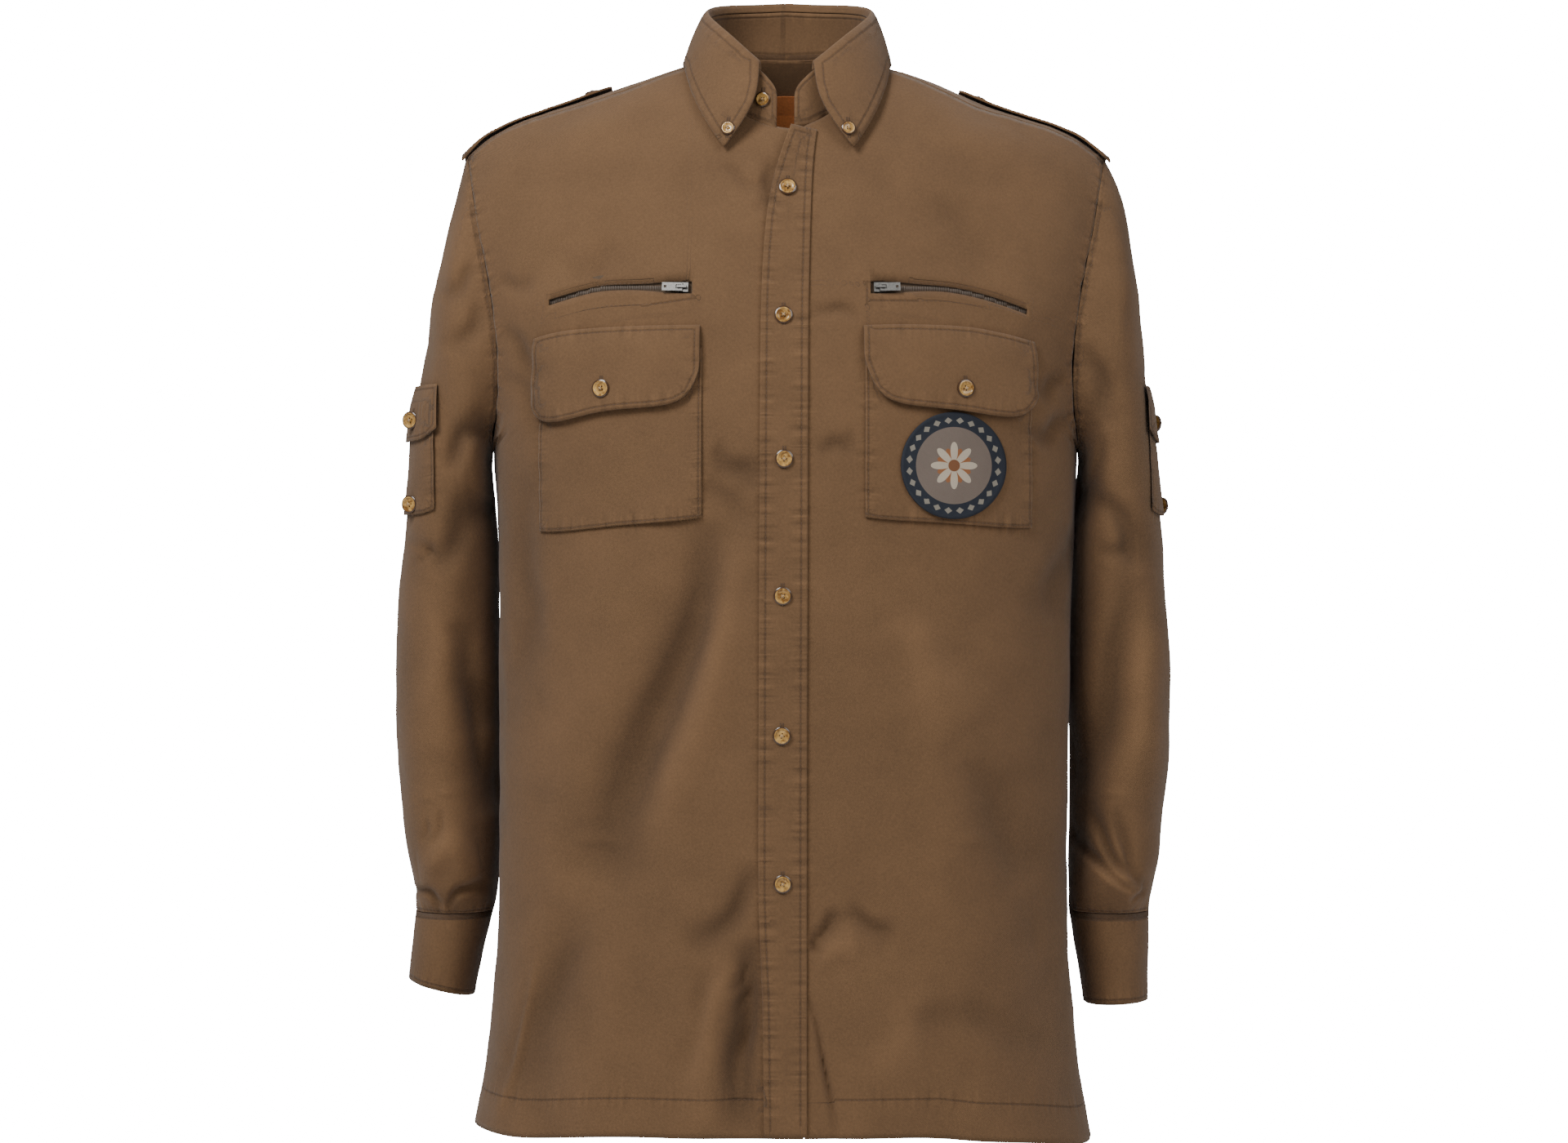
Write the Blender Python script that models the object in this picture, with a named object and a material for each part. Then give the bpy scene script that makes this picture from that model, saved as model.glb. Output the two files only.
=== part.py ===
"""A long-sleeved utility shirt in its worn shape, as thin closed walls.

Metres, +Z up, front toward -Y, +X toward the wearer's left. Height zero is where the
shoulder line meets the neck. Every panel is a grid of outer points and the same grid moved
inward by the cloth's thickness.
"""

import math
from bisect import bisect_right

import bpy
import numpy as np
from mathutils import Vector
from mathutils.bvhtree import BVHTree

for old in list(bpy.data.objects):
    bpy.data.objects.remove(old, do_unlink=True)


def table(names, *rows):
    return [dict(zip(names.split(), row)) for row in rows]


# Sizes that several pieces share
WALL = 0.0015
SEAM = 0.0002
NECK_SEAM = 0.0015
SECTION_POWER = 2.3
HEM = -0.7600

# The body's sections: half width, depth in front, depth behind, sideways shift
TORSO = table(
    "z half front back shift",
    (0.0250, 0.0580, 0.0340, 0.0600, 0.0000),
    (0.0100, 0.0680, 0.0410, 0.0690, 0.0000),
    (0.0045, 0.0830, 0.0435, 0.0725, 0.0000),
    (0.0018, 0.0951, 0.0450, 0.0745, 0.0000),
    (-0.0030, 0.1098, 0.0475, 0.0780, 0.0000),
    (-0.0100, 0.1290, 0.0520, 0.0820, 0.0000),
    (-0.0180, 0.1500, 0.0570, 0.0870, 0.0000),
    (-0.0240, 0.1690, 0.0610, 0.0895, 0.0000),
    (-0.0300, 0.1870, 0.0660, 0.0920, 0.0000),
    (-0.0360, 0.2015, 0.0710, 0.0940, 0.0000),
    (-0.0420, 0.2140, 0.0755, 0.0965, 0.0000),
    (-0.0480, 0.2240, 0.0795, 0.0985, 0.0000),
    (-0.0540, 0.2310, 0.0825, 0.1005, 0.0000),
    (-0.0620, 0.2365, 0.0860, 0.1035, 0.0000),
    (-0.0750, 0.2425, 0.0920, 0.1070, 0.0000),
    (-0.1000, 0.2430, 0.1020, 0.1130, 0.0000),
    (-0.1500, 0.2380, 0.1170, 0.1200, 0.0000),
    (-0.2000, 0.2280, 0.1270, 0.1240, 0.0000),
    (-0.2600, 0.2165, 0.1320, 0.1240, 0.0000),
    (-0.3000, 0.2125, 0.1330, 0.1220, 0.0005),
    (-0.4000, 0.2100, 0.1310, 0.1160, -0.0004),
    (-0.5000, 0.2088, 0.1280, 0.1130, -0.0010),
    (-0.6200, 0.2085, 0.1280, 0.1160, -0.0022),
    (-0.6690, 0.2127, 0.1300, 0.1195, -0.0020),
    (-0.7110, 0.2166, 0.1325, 0.1225, -0.0010),
    (-0.7600, 0.2265, 0.1370, 0.1270, 0.0000),
)

# Folds of the body as seen from the front: a line, its height outward and its half width
FRONT_FOLDS = table(
    "x1 z1 x2 z2 height width",
    (-0.053, -0.330, -0.128, -0.570, -0.0060, 0.020),
    (-0.075, -0.315, -0.150, -0.520, 0.0035, 0.022),
    (-0.127, -0.570, -0.185, -0.725, -0.0030, 0.020),
    (-0.026, -0.640, -0.025, -0.760, -0.0045, 0.012),
    (-0.060, -0.600, -0.066, -0.760, 0.0035, 0.022),
    (-0.179, -0.640, -0.208, -0.750, 0.0030, 0.010),
    (-0.155, -0.660, -0.170, -0.760, -0.0030, 0.014),
    (0.030, -0.236, 0.045, -0.300, -0.0022, 0.016),
    (0.022, -0.610, 0.060, -0.600, -0.0025, 0.012),
    (0.016, -0.668, 0.034, -0.760, -0.0040, 0.009),
    (0.050, -0.640, 0.070, -0.760, 0.0035, 0.018),
    (0.166, -0.535, 0.194, -0.708, -0.0042, 0.016),
    (0.120, -0.450, 0.135, -0.740, 0.0030, 0.026),
)
BACK_FOLDS = table(
    "x1 z1 x2 z2 height width",
    (-0.075, -0.140, -0.095, -0.520, -0.0045, 0.020),
    (-0.035, -0.120, -0.040, -0.600, 0.0040, 0.022),
    (0.030, -0.130, 0.042, -0.560, 0.0042, 0.020),
    (0.078, -0.140, 0.100, -0.480, -0.0048, 0.021),
    (-0.140, -0.430, -0.060, -0.640, -0.0035, 0.020),
    (0.150, -0.480, 0.090, -0.700, -0.0035, 0.022),
)


def smooth_rows(rows, key, value):
    """A smooth curve through a table's rows that doesn't overshoot them."""
    pairs = sorted((row[key], row[value]) for row in rows)
    xs = [pair[0] for pair in pairs]
    ys = [pair[1] for pair in pairs]
    rises = [(ys[i + 1] - ys[i]) / (xs[i + 1] - xs[i]) for i in range(len(xs) - 1)]
    slopes = [rises[0]]
    for left, right in zip(rises, rises[1:]):
        slopes.append(2 * left * right / (left + right) if left * right > 0 else 0.0)
    slopes.append(rises[-1])

    def at(x):
        x = min(max(x, xs[0]), xs[-1])
        i = min(bisect_right(xs, x), len(xs) - 1) - 1
        span = xs[i + 1] - xs[i]
        t = (x - xs[i]) / span
        low = (1 + 2 * t) * (1 - t) ** 2 * ys[i] + t * (1 - t) ** 2 * span * slopes[i]
        high = t * t * (3 - 2 * t) * ys[i + 1] + t * t * (t - 1) * span * slopes[i + 1]
        return low + high

    return at


torso_half = smooth_rows(TORSO, "z", "half")
torso_front = smooth_rows(TORSO, "z", "front")
torso_back = smooth_rows(TORSO, "z", "back")
torso_shift = smooth_rows(TORSO, "z", "shift")


def smoothstep(low, high, x):
    t = min(max((x - low) / (high - low), 0.0), 1.0)
    return t * t * (3 - 2 * t)


def unit(v):
    length = float(np.linalg.norm(v))
    return v / length if length > 0 else v


def field(p):
    """Below zero inside the body's form and above zero outside it."""
    depth = torso_front(p[2]) if p[1] < 0 else torso_back(p[2])
    side = abs(p[0] - torso_shift(p[2])) / torso_half(p[2])
    return side**SECTION_POWER + (abs(p[1]) / depth) ** SECTION_POWER - 1


def gradient(p):
    step = 0.0002
    result = np.zeros(3)
    for axis in range(3):
        ahead = p.copy()
        behind = p.copy()
        ahead[axis] += step
        behind[axis] -= step
        result[axis] = (field(ahead) - field(behind)) / (2 * step)
    return result


def settle(p):
    """Moves a point onto the body's form."""
    p = np.array(p, float)
    for _ in range(14):
        slope = gradient(p)
        p = p - 0.9 * field(p) * slope / float(slope @ slope)
    return p


def ring_point(degrees, z):
    """The body's point at an angle from the front centre, +X positive, at a height."""
    turn = math.radians(degrees)
    side, ahead = math.sin(turn), math.cos(turn)
    depth = torso_front(z) if ahead > 0 else torso_back(z)
    x = torso_half(z) * math.copysign(abs(side) ** (2 / SECTION_POWER), side)
    y = -depth * math.copysign(abs(ahead) ** (2 / SECTION_POWER), ahead)
    return np.array((torso_shift(z) + x, y, z))


def front_point(x, z):
    reach = min(abs(x - torso_shift(z)) / torso_half(z), 1.0)
    return np.array((x, -torso_front(z) * (1 - reach**SECTION_POWER) ** (1 / SECTION_POWER), z))


def back_point(x, z):
    reach = min(abs(x - torso_shift(z)) / torso_half(z), 1.0)
    return np.array((x, torso_back(z) * (1 - reach**SECTION_POWER) ** (1 / SECTION_POWER), z))


def top_point(x, y):
    """The body's point under a place on the plan."""
    low, high = -0.098, 0.0249
    for _ in range(50):
        middle = (low + high) / 2
        if field((x, y, middle)) > 0:
            high = middle
        else:
            low = middle
    return np.array((x, y, low))


def fold_height(p, folds):
    total = 0.0
    for row in folds:
        start = np.array((row["x1"], row["z1"]))
        along = np.array((row["x2"], row["z2"])) - start
        here = np.array((p[0], p[2])) - start
        t = min(max(float(here @ along) / float(along @ along), 0.0), 1.0)
        away = float(np.linalg.norm(here - along * t))
        total += row["height"] * math.exp(-((away / row["width"]) ** 2))
    return total


def relief(p):
    """How far the cloth stands off the plain form at a point."""
    facing = smoothstep(0.030, 0.070, abs(p[1]))
    total = fold_height(p, FRONT_FOLDS if p[1] < 0 else BACK_FOLDS) * facing
    turn = math.atan2(p[0], -p[1])
    low = smoothstep(-0.640, HEM, p[2])
    return total + 0.0022 * low * math.sin(7 * turn + 0.6) * abs(math.sin(turn))


def dress(points):
    """The worn surface and its outward directions for a grid of points on the form."""
    rows, cols = points.shape[:2]
    outer = np.zeros_like(points)
    ways = np.zeros_like(points)
    for i in range(rows):
        for j in range(cols):
            ways[i, j] = unit(gradient(points[i, j]))
            outer[i, j] = points[i, j] + ways[i, j] * relief(points[i, j])
    return outer, ways


def resample(points, count):
    """The same line cut into equal lengths."""
    points = np.array(points)
    lengths = np.concatenate(([0.0], np.cumsum(np.linalg.norm(np.diff(points, axis=0), axis=1))))
    wanted = np.linspace(0, lengths[-1], count + 1)
    return np.stack([np.interp(wanted, lengths, points[:, k]) for k in range(3)], axis=1)


def patch(top, bottom, left, right, weights):
    """Fills four edges that meet at their ends; the weights say how far each row takes the top's shape."""
    rows, cols = len(left), len(top)
    points = np.zeros((rows, cols, 3))
    for i in range(rows):
        for j in range(cols):
            u = j / (cols - 1)
            from_top = top[j] - (top[0] * (1 - u) + top[-1] * u)
            from_bottom = bottom[j] - (bottom[0] * (1 - u) + bottom[-1] * u)
            sides = left[i] * (1 - u) + right[i] * u
            points[i, j] = sides + weights[i] * from_top + (1 - weights[i]) * from_bottom
    for i in range(1, rows - 1):
        for j in range(1, cols - 1):
            points[i, j] = settle(points[i, j])
    return points


def draw_back(outer, edge, amount):
    """Moves one edge of a grid toward its own middle, leaving the seam's gap."""
    if edge == "first_row":
        along = outer[1] - outer[0]
        outer[0] += along / np.linalg.norm(along, axis=1)[:, None] * amount
    if edge == "last_row":
        along = outer[-2] - outer[-1]
        outer[-1] += along / np.linalg.norm(along, axis=1)[:, None] * amount
    if edge == "first_column":
        along = outer[:, 1] - outer[:, 0]
        outer[:, 0] += along / np.linalg.norm(along, axis=1)[:, None] * amount
    if edge == "last_column":
        along = outer[:, -2] - outer[:, -1]
        outer[:, -1] += along / np.linalg.norm(along, axis=1)[:, None] * amount


# Materials, one for each kind of stuff, copied for each piece
COLOURS = {
    "cloth": ((0.196, 0.112, 0.057), 0.90, 0.0),
    "cloth_inner": ((0.160, 0.090, 0.044), 0.90, 0.0),
    "button": ((0.420, 0.270, 0.105), 0.28, 0.0),
    "metal": ((0.420, 0.410, 0.400), 0.35, 1.0),
    "tape": ((0.045, 0.028, 0.018), 0.85, 0.0),
    "label": ((0.620, 0.200, 0.060), 0.85, 0.0),
    "patch": ((0.150, 0.125, 0.105), 0.85, 0.0),
}
pieces = {}


# The hem hangs lower at both side seams, and the left shoulder slopes more than the right one
HEM_DROP = table(
    "x drop",
    (-0.240, 0.0062),
    (-0.223, 0.0062),
    (-0.193, 0.0072),
    (-0.163, 0.0042),
    (-0.133, 0.0012),
    (-0.100, 0.0000),
    (0.090, 0.0000),
    (0.107, 0.0006),
    (0.137, 0.0048),
    (0.167, 0.0074),
    (0.197, 0.0120),
    (0.221, 0.0165),
    (0.240, 0.0170),
)
SHOULDER_DROP = table(
    "x drop",
    (0.080, 0.0000),
    (0.105, 0.0006),
    (0.130, 0.0036),
    (0.150, 0.0048),
    (0.175, 0.0048),
    (0.200, 0.0038),
    (0.225, 0.0030),
    (0.250, 0.0016),
    (0.290, 0.0000),
)
hem_drop = smooth_rows(HEM_DROP, "x", "drop")
shoulder_drop = smooth_rows(SHOULDER_DROP, "x", "drop")


def hang(p, name):
    """A finished point as the garment hangs: lower hem at the sides, sloping left shoulder."""
    x, y, z = (float(c) for c in p)
    if not name.startswith(("sleeve", "cuff", "button_sleeve", "button_cuff")):
        low = min(max((-0.600 - z) / 0.160, 0.0), 1.0)
        z -= hem_drop(min(max(x, -0.240), 0.240)) * low * low * (3 - 2 * low)
    if x > 0.080:
        high = min(max((z + 0.230) / 0.130, 0.0), 1.0)
        z -= shoulder_drop(min(x, 0.290)) * high * high * (3 - 2 * high)
    return (x, y, z)


def add_piece(name, points, triangles, stuff, smooth_degrees=50):
    used = sorted({corner for triangle in triangles for corner in triangle})
    place = {old: new for new, old in enumerate(used)}
    mesh = bpy.data.meshes.new(name)
    mesh.from_pydata(
        [hang(points[old], name) for old in used],
        [],
        [tuple(place[corner] for corner in triangle) for triangle in triangles],
    )
    mesh.validate()
    volume = 0.0
    for face in mesh.polygons:
        a, b, c = (mesh.vertices[k].co for k in face.vertices)
        volume += a.dot(b.cross(c)) / 6
    if volume < 0:
        mesh.flip_normals()
    for face in mesh.polygons:
        face.use_smooth = True
    mesh.set_sharp_from_angle(angle=math.radians(smooth_degrees))
    colour, roughness, metallic = COLOURS[stuff]
    material = bpy.data.materials.new(name + "_material")
    material.use_nodes = True
    shader = material.node_tree.nodes["Principled BSDF"]
    shader.inputs["Base Color"].default_value = (*colour, 1)
    shader.inputs["Roughness"].default_value = roughness
    shader.inputs["Metallic"].default_value = metallic
    mesh.materials.append(material)
    made = bpy.data.objects.new(name, mesh)
    bpy.context.scene.collection.objects.link(made)
    pieces[name] = made
    return made


def wall(name, outer, inner, stuff, loop=False, left_out=()):
    """One closed thin body between two grids; left_out lists the cells that stay open."""
    rows, cols = outer.shape[:2]
    points = np.concatenate((outer.reshape(-1, 3), inner.reshape(-1, 3)))

    def index(corner, side):
        return (side * rows + corner[0]) * cols + corner[1] % cols

    triangles = []
    edges = set()
    for i in range(rows - 1):
        for j in range(cols if loop else cols - 1):
            if (i, j) in left_out:
                continue
            a, b, c, d = (i, j), (i, j + 1), (i + 1, j + 1), (i + 1, j)
            for three in ((a, b, c), (a, c, d)):
                triangles.append(tuple(index(corner, 0) for corner in three))
                triangles.append(tuple(index(corner, 1) for corner in reversed(three)))
                for k in range(3):
                    edges.add((three[k], three[(k + 1) % 3]))
    whole = {(index(p, 0), index(q, 0)) for p, q in edges}
    shift = rows * cols
    for p, q in sorted(whole):
        if (q, p) not in whole:
            triangles.append((q, p, p + shift))
            triangles.append((q, p + shift, q + shift))
    return add_piece(name, points, triangles, stuff)


def skin(*grids, loop=False):
    """A surface to lay other pieces on, cut into the same triangles as the walls."""
    points = []
    triangles = []
    for grid in grids:
        rows, cols = grid.shape[:2]
        start = len(points)
        points.extend(Vector(p) for p in grid.reshape(-1, 3))
        for i in range(rows - 1):
            for j in range(cols if loop else cols - 1):
                a = start + i * cols + j
                b = start + i * cols + (j + 1) % cols
                triangles.append((a, b, b + cols))
                triangles.append((a, b + cols, a + cols))
    return BVHTree.FromPolygons(points, triangles)


def outermost(skins, point, way, reach=0.06):
    """The highest skin point under a place, looking back along an outward direction."""
    start = Vector(point) + Vector(way) * reach
    best = None
    for surface in skins:
        hit = surface.ray_cast(start, -Vector(way), 2 * reach)
        if hit[0] is not None and (best is None or hit[3] < best[1]):
            best = (hit[0], hit[3])
    return None if best is None else np.array(best[0])


def lay(skins, places, ways, lifts, fill=None):
    """Puts a grid on the skins, each point moved out by its own lift and clear in between."""
    rows, cols = places.shape[:2]
    inner = np.zeros_like(places)
    for i in range(rows):
        for j in range(cols):
            found = outermost(skins, places[i, j], ways[i, j])
            if found is None:
                found = places[i, j] if fill is None else fill(places[i, j])
            inner[i, j] = found + ways[i, j] * lifts[i][j]
    for _ in range(3):
        raise_by = np.zeros((rows, cols))
        for i in range(rows - 1):
            for j in range(cols - 1):
                for s, t in ((0.5, 0.5), (0.5, 0.0), (0.0, 0.5), (0.25, 0.25), (0.75, 0.75), (0.25, 0.75),
                             (0.75, 0.25), (0.5, 1.0), (1.0, 0.5)):
                    weights = ((1 - s) * (1 - t), (1 - s) * t, s * t, s * (1 - t))
                    corners = ((i, j), (i, j + 1), (i + 1, j + 1), (i + 1, j))
                    here = sum(w * inner[c] for w, c in zip(weights, corners))
                    way = unit(sum(w * ways[c] for w, c in zip(weights, corners)))
                    under = outermost(skins, here, way)
                    if under is None:
                        continue
                    short = 0.00035 - float((here - under) @ way)
                    if short > 0:
                        for corner in corners:
                            raise_by[corner] = max(raise_by[corner], short)
        inner += ways * raise_by[:, :, None]
    return inner


def mirror_name(s):
    return "left" if s > 0 else "right"


# Neckline and armhole lines
NECK_HALF = 0.0680
NECK_BACK = 0.0620
NECK_FRONT = 0.0780
YOKE_CORNER = 110
ARMHOLE_FRONT = table(
    "z angle",
    (-0.0622, 77.0),
    (-0.0800, 68.8),
    (-0.1010, 65.9),
    (-0.1300, 63.6),
    (-0.1500, 62.2),
    (-0.1800, 62.2),
    (-0.2000, 63.8),
    (-0.2200, 65.7),
    (-0.2500, 71.8),
    (-0.2650, 77.8),
    (-0.2750, 90.0),
)
ARMHOLE_BACK = table(
    "z angle",
    (-0.0980, 114.4),
    (-0.1300, 116.4),
    (-0.1500, 116.6),
    (-0.1800, 115.6),
    (-0.2200, 112.0),
    (-0.2500, 105.6),
    (-0.2650, 99.5),
    (-0.2750, 90.0),
)
ARMHOLE_TOP = table(
    "angle z",
    (77.0, -0.0622),
    (83.0, -0.0588),
    (90.0, -0.0578),
    (100.0, -0.0660),
    (108.0, -0.0800),
    (114.4, -0.0980),
)
UNDERARM = -0.2750
NECK_COLUMNS = 4
SEAM_COLUMNS = 9
YOKE_NECK_COLUMNS = 8
YOKE_ROWS = 7
ARMHOLE_FRONT_ROWS = 9
ARMHOLE_BACK_ROWS = 8
SIDE_ROWS = 13


def neck_point(turn):
    """A neckline point; the turn is in degrees from the back centre, +X positive."""
    x = NECK_HALF * math.sin(math.radians(turn))
    y = math.cos(math.radians(turn))
    return top_point(x, y * (NECK_BACK if y > 0 else NECK_FRONT))


def line_of(rows, steps, key, value, place):
    """Many points along a line given as a table."""
    at = smooth_rows(rows, key, value)
    low = min(row[key] for row in rows)
    high = max(row[key] for row in rows)
    return [place(low + (high - low) * k / steps, at) for k in range(steps + 1)]


def armhole_front(s):
    points = line_of(ARMHOLE_FRONT, 400, "z", "angle", lambda z, at: ring_point(s * at(z), z))
    return resample(points[::-1], ARMHOLE_FRONT_ROWS)


def armhole_back(s):
    points = line_of(ARMHOLE_BACK, 400, "z", "angle", lambda z, at: ring_point(s * at(z), z))
    return resample(points[::-1], ARMHOLE_BACK_ROWS)


def armhole_top(s):
    points = line_of(ARMHOLE_TOP, 400, "angle", "z", lambda angle, at: ring_point(s * angle, at(angle)))
    return resample(points, YOKE_ROWS)


def side_seam(s):
    return np.array([
        ring_point(s * 90, UNDERARM + (HEM - UNDERARM) * k / SIDE_ROWS) for k in range(SIDE_ROWS + 1)
    ])


def yoke_front_seam(s):
    """From the neck to the armhole, a little below the shoulder ridge."""
    start = neck_point(s * YOKE_CORNER)
    end = armhole_front(s)[0]
    points = []
    for k in range(SEAM_COLUMNS + 1):
        t = k / SEAM_COLUMNS
        x = start[0] + (end[0] - start[0]) * t
        y = start[1] + (end[1] - start[1]) * t - 0.0105 * math.sin(math.pi * t)
        points.append(top_point(x, y))
    points[0] = start
    points[-1] = end
    return np.array(points)


# Front panels. The right one runs under the placket and the left one starts beneath it.
FRONT_EDGE = {
    1: table("z x", (0.0, 0.0133), (-0.400, 0.0133), (HEM, 0.0133)),
    -1: table("z x", (0.0, 0.0020), (-0.045, 0.0040), (-0.075, 0.0105), (-0.110, 0.0125), (HEM, 0.0125)),
}
ZIP_LINE = {
    1: table("x z", (0.060, -0.1630), (0.114, -0.1625), (0.137, -0.1653), (0.172, -0.1768)),
    -1: table("x z", (0.066, -0.1630), (0.128, -0.1620), (0.150, -0.1670), (0.168, -0.1720)),
}
ZIP_ROW = 4
ZIP_COLUMN = 4
ZIP_CELLS = 6
ZIP_OPEN_HALF = 0.0043
ZIP_SHUT_HALF = 0.0021
front_skins = {}
front_grids = {}
armhole_loops = {}

for s in (-1, 1):
    edge_x = smooth_rows(FRONT_EDGE[s], "z", "x")
    edge_start = edge_x(-0.045)
    first_turn = 180 - math.degrees(math.asin(s * edge_start / NECK_HALF))
    neck_line = [
        neck_point(s * (first_turn + (YOKE_CORNER - first_turn) * k / NECK_COLUMNS))
        for k in range(NECK_COLUMNS + 1)
    ]
    top = np.concatenate((np.array(neck_line), yoke_front_seam(s)[1:]))
    right = np.concatenate((armhole_front(s), side_seam(s)[1:]))
    rows = len(right) - 1
    left = [top[0]]
    for i in range(1, rows + 1):
        if i <= ARMHOLE_FRONT_ROWS:
            z = top[0][2] + (-0.285 - top[0][2]) * i / ARMHOLE_FRONT_ROWS
        else:
            z = -0.285 + (HEM + 0.285) * (i - ARMHOLE_FRONT_ROWS) / SIDE_ROWS
        left.append(front_point(edge_x(z), z))
    hem_line = []
    hem_turn = math.degrees(math.asin((0.078 / torso_half(HEM)) ** (SECTION_POWER / 2)))
    for j in range(NECK_COLUMNS + 1):
        x = left[-1][0] + (s * 0.078 - left[-1][0]) * j / NECK_COLUMNS
        hem_line.append(front_point(x, HEM))
    for j in range(1, SEAM_COLUMNS + 1):
        hem_line.append(ring_point(s * (hem_turn + (90 - hem_turn) * j / SEAM_COLUMNS), HEM))
    weights = [max(0.0, 1 - i / 12) ** 1.6 for i in range(rows + 1)]
    points = patch(top, np.array(hem_line), np.array(left), right, weights)

    # The zip's slit is a row of cells pinched to the slit's height and left open.
    zip_z = smooth_rows(ZIP_LINE[s], "x", "z")
    zip_first = ZIP_LINE[s][0]["x"]
    zip_last = ZIP_LINE[s][-1]["x"]
    for k in range(ZIP_CELLS + 1):
        x = zip_first + (zip_last - zip_first) * k / ZIP_CELLS
        half = ZIP_OPEN_HALF if k < 2 else ZIP_SHUT_HALF
        points[ZIP_ROW, ZIP_COLUMN + k] = front_point(s * x, zip_z(x) + half)
        points[ZIP_ROW + 1, ZIP_COLUMN + k] = front_point(s * x, zip_z(x) - half)
    outer, ways = dress(points)
    loose = outer.copy()
    draw_back(outer, "first_row", SEAM)
    draw_back(outer[:, : NECK_COLUMNS + 1], "first_row", NECK_SEAM - SEAM)
    draw_back(outer, "last_column", SEAM)
    opened = {(ZIP_ROW, ZIP_COLUMN + k) for k in range(ZIP_CELLS)}
    wall("front_" + mirror_name(s), outer, outer - ways * WALL, "cloth", left_out=opened)
    front_skins[s] = skin(outer)
    front_grids[s] = outer
    armhole_loops[s] = [(loose[: ARMHOLE_FRONT_ROWS + 1, -1], ways[: ARMHOLE_FRONT_ROWS + 1, -1])]

# Yoke: one piece over both shoulders and round the back of the neck
seam_x = [0.0850 + (0.2240 - 0.0850) * k / SEAM_COLUMNS for k in range(SEAM_COLUMNS + 1)]
YOKE_BACK_Z = -0.1000
YOKE_BACK_END = -0.0980


def yoke_back_seam():
    plan = [-x for x in reversed(seam_x)]
    plan += [-0.0850 + 0.1700 * k / YOKE_NECK_COLUMNS for k in range(1, YOKE_NECK_COLUMNS)]
    plan += seam_x
    points = []
    for x in plan:
        z = YOKE_BACK_Z + (YOKE_BACK_END - YOKE_BACK_Z) * (abs(x) / 0.2240) ** 2
        points.append(back_point(x, z))
    points[0] = armhole_back(-1)[0]
    points[-1] = armhole_back(1)[0]
    return np.array(points)


neck_back = [
    neck_point(-YOKE_CORNER + 2 * YOKE_CORNER * k / YOKE_NECK_COLUMNS)
    for k in range(1, YOKE_NECK_COLUMNS)
]
yoke_top = np.concatenate((yoke_front_seam(-1)[::-1], np.array(neck_back), yoke_front_seam(1)))
yoke_bottom = yoke_back_seam()
yoke_weights = [1 - i / YOKE_ROWS for i in range(YOKE_ROWS + 1)]
points = patch(yoke_top, yoke_bottom, armhole_top(-1), armhole_top(1), yoke_weights)
outer, ways = dress(points)
armhole_loops[-1].append((outer[:, 0].copy(), ways[:, 0].copy()))
armhole_loops[1].append((outer[:, -1].copy(), ways[:, -1].copy()))
draw_back(outer, "first_row", SEAM)
neck_part = outer[:, SEAM_COLUMNS : SEAM_COLUMNS + YOKE_NECK_COLUMNS + 1]
draw_back(neck_part, "first_row", NECK_SEAM - SEAM)
for edge in ("last_row", "first_column", "last_column"):
    draw_back(outer, edge, SEAM)
wall("yoke", outer, outer - ways * WALL, "cloth")
yoke_skin = skin(outer)

# Back panel below the yoke
back_left = np.concatenate((armhole_back(-1), side_seam(-1)[1:]))
back_right = np.concatenate((armhole_back(1), side_seam(1)[1:]))
hem_turn = 180 - math.degrees(math.asin((0.090 / torso_half(HEM)) ** (SECTION_POWER / 2)))
hem_back = [
    ring_point(-(90 + (hem_turn - 90) * k / SEAM_COLUMNS), HEM) for k in range(SEAM_COLUMNS + 1)
]
hem_back += [
    back_point(-0.090 + 0.180 * k / YOKE_NECK_COLUMNS, HEM) for k in range(1, YOKE_NECK_COLUMNS)
]
hem_back += [
    ring_point(hem_turn + (90 - hem_turn) * k / SEAM_COLUMNS, HEM) for k in range(SEAM_COLUMNS + 1)
]
rows = len(back_left) - 1
weights = [max(0.0, 1 - i / 14) ** 1.4 for i in range(rows + 1)]
points = patch(yoke_bottom, np.array(hem_back), back_left, back_right, weights)
outer, ways = dress(points)
back_edge = {
    -1: (outer[: ARMHOLE_BACK_ROWS + 1, 0].copy(), ways[: ARMHOLE_BACK_ROWS + 1, 0].copy()),
    1: (outer[: ARMHOLE_BACK_ROWS + 1, -1].copy(), ways[: ARMHOLE_BACK_ROWS + 1, -1].copy()),
}
for edge in ("first_row", "first_column", "last_column"):
    draw_back(outer, edge, SEAM)
wall("back", outer, outer - ways * WALL, "cloth")

# Placket: a strip over both front edges, its free edge standing forward at the neck
PLACKET = table(
    "z free sewn lift",
    (-0.0480, 0.0040, 0.0225, 0.0065),
    (-0.0600, 0.0000, 0.0205, 0.0055),
    (-0.0780, -0.0080, 0.0192, 0.0035),
    (-0.1050, -0.0126, 0.0180, 0.0018),
    (-0.1350, -0.0155, 0.0172, 0.0008),
    (-0.1800, -0.0173, 0.0162, 0.0003),
    (-0.3630, -0.0184, 0.0155, 0.0000),
    (-0.5920, -0.0190, 0.0150, 0.0000),
    (-0.6670, -0.0162, 0.0150, 0.0004),
    (-0.7590, -0.0150, 0.0150, 0.0008),
)
PLACKET_ROWS = 24
PLACKET_COLUMNS = 3
free_x = smooth_rows(PLACKET, "z", "free")
sewn_x = smooth_rows(PLACKET, "z", "sewn")
edge_lift = smooth_rows(PLACKET, "z", "lift")
places = np.zeros((PLACKET_ROWS + 1, PLACKET_COLUMNS + 1, 3))
ways = np.zeros_like(places)
lifts = []
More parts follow.
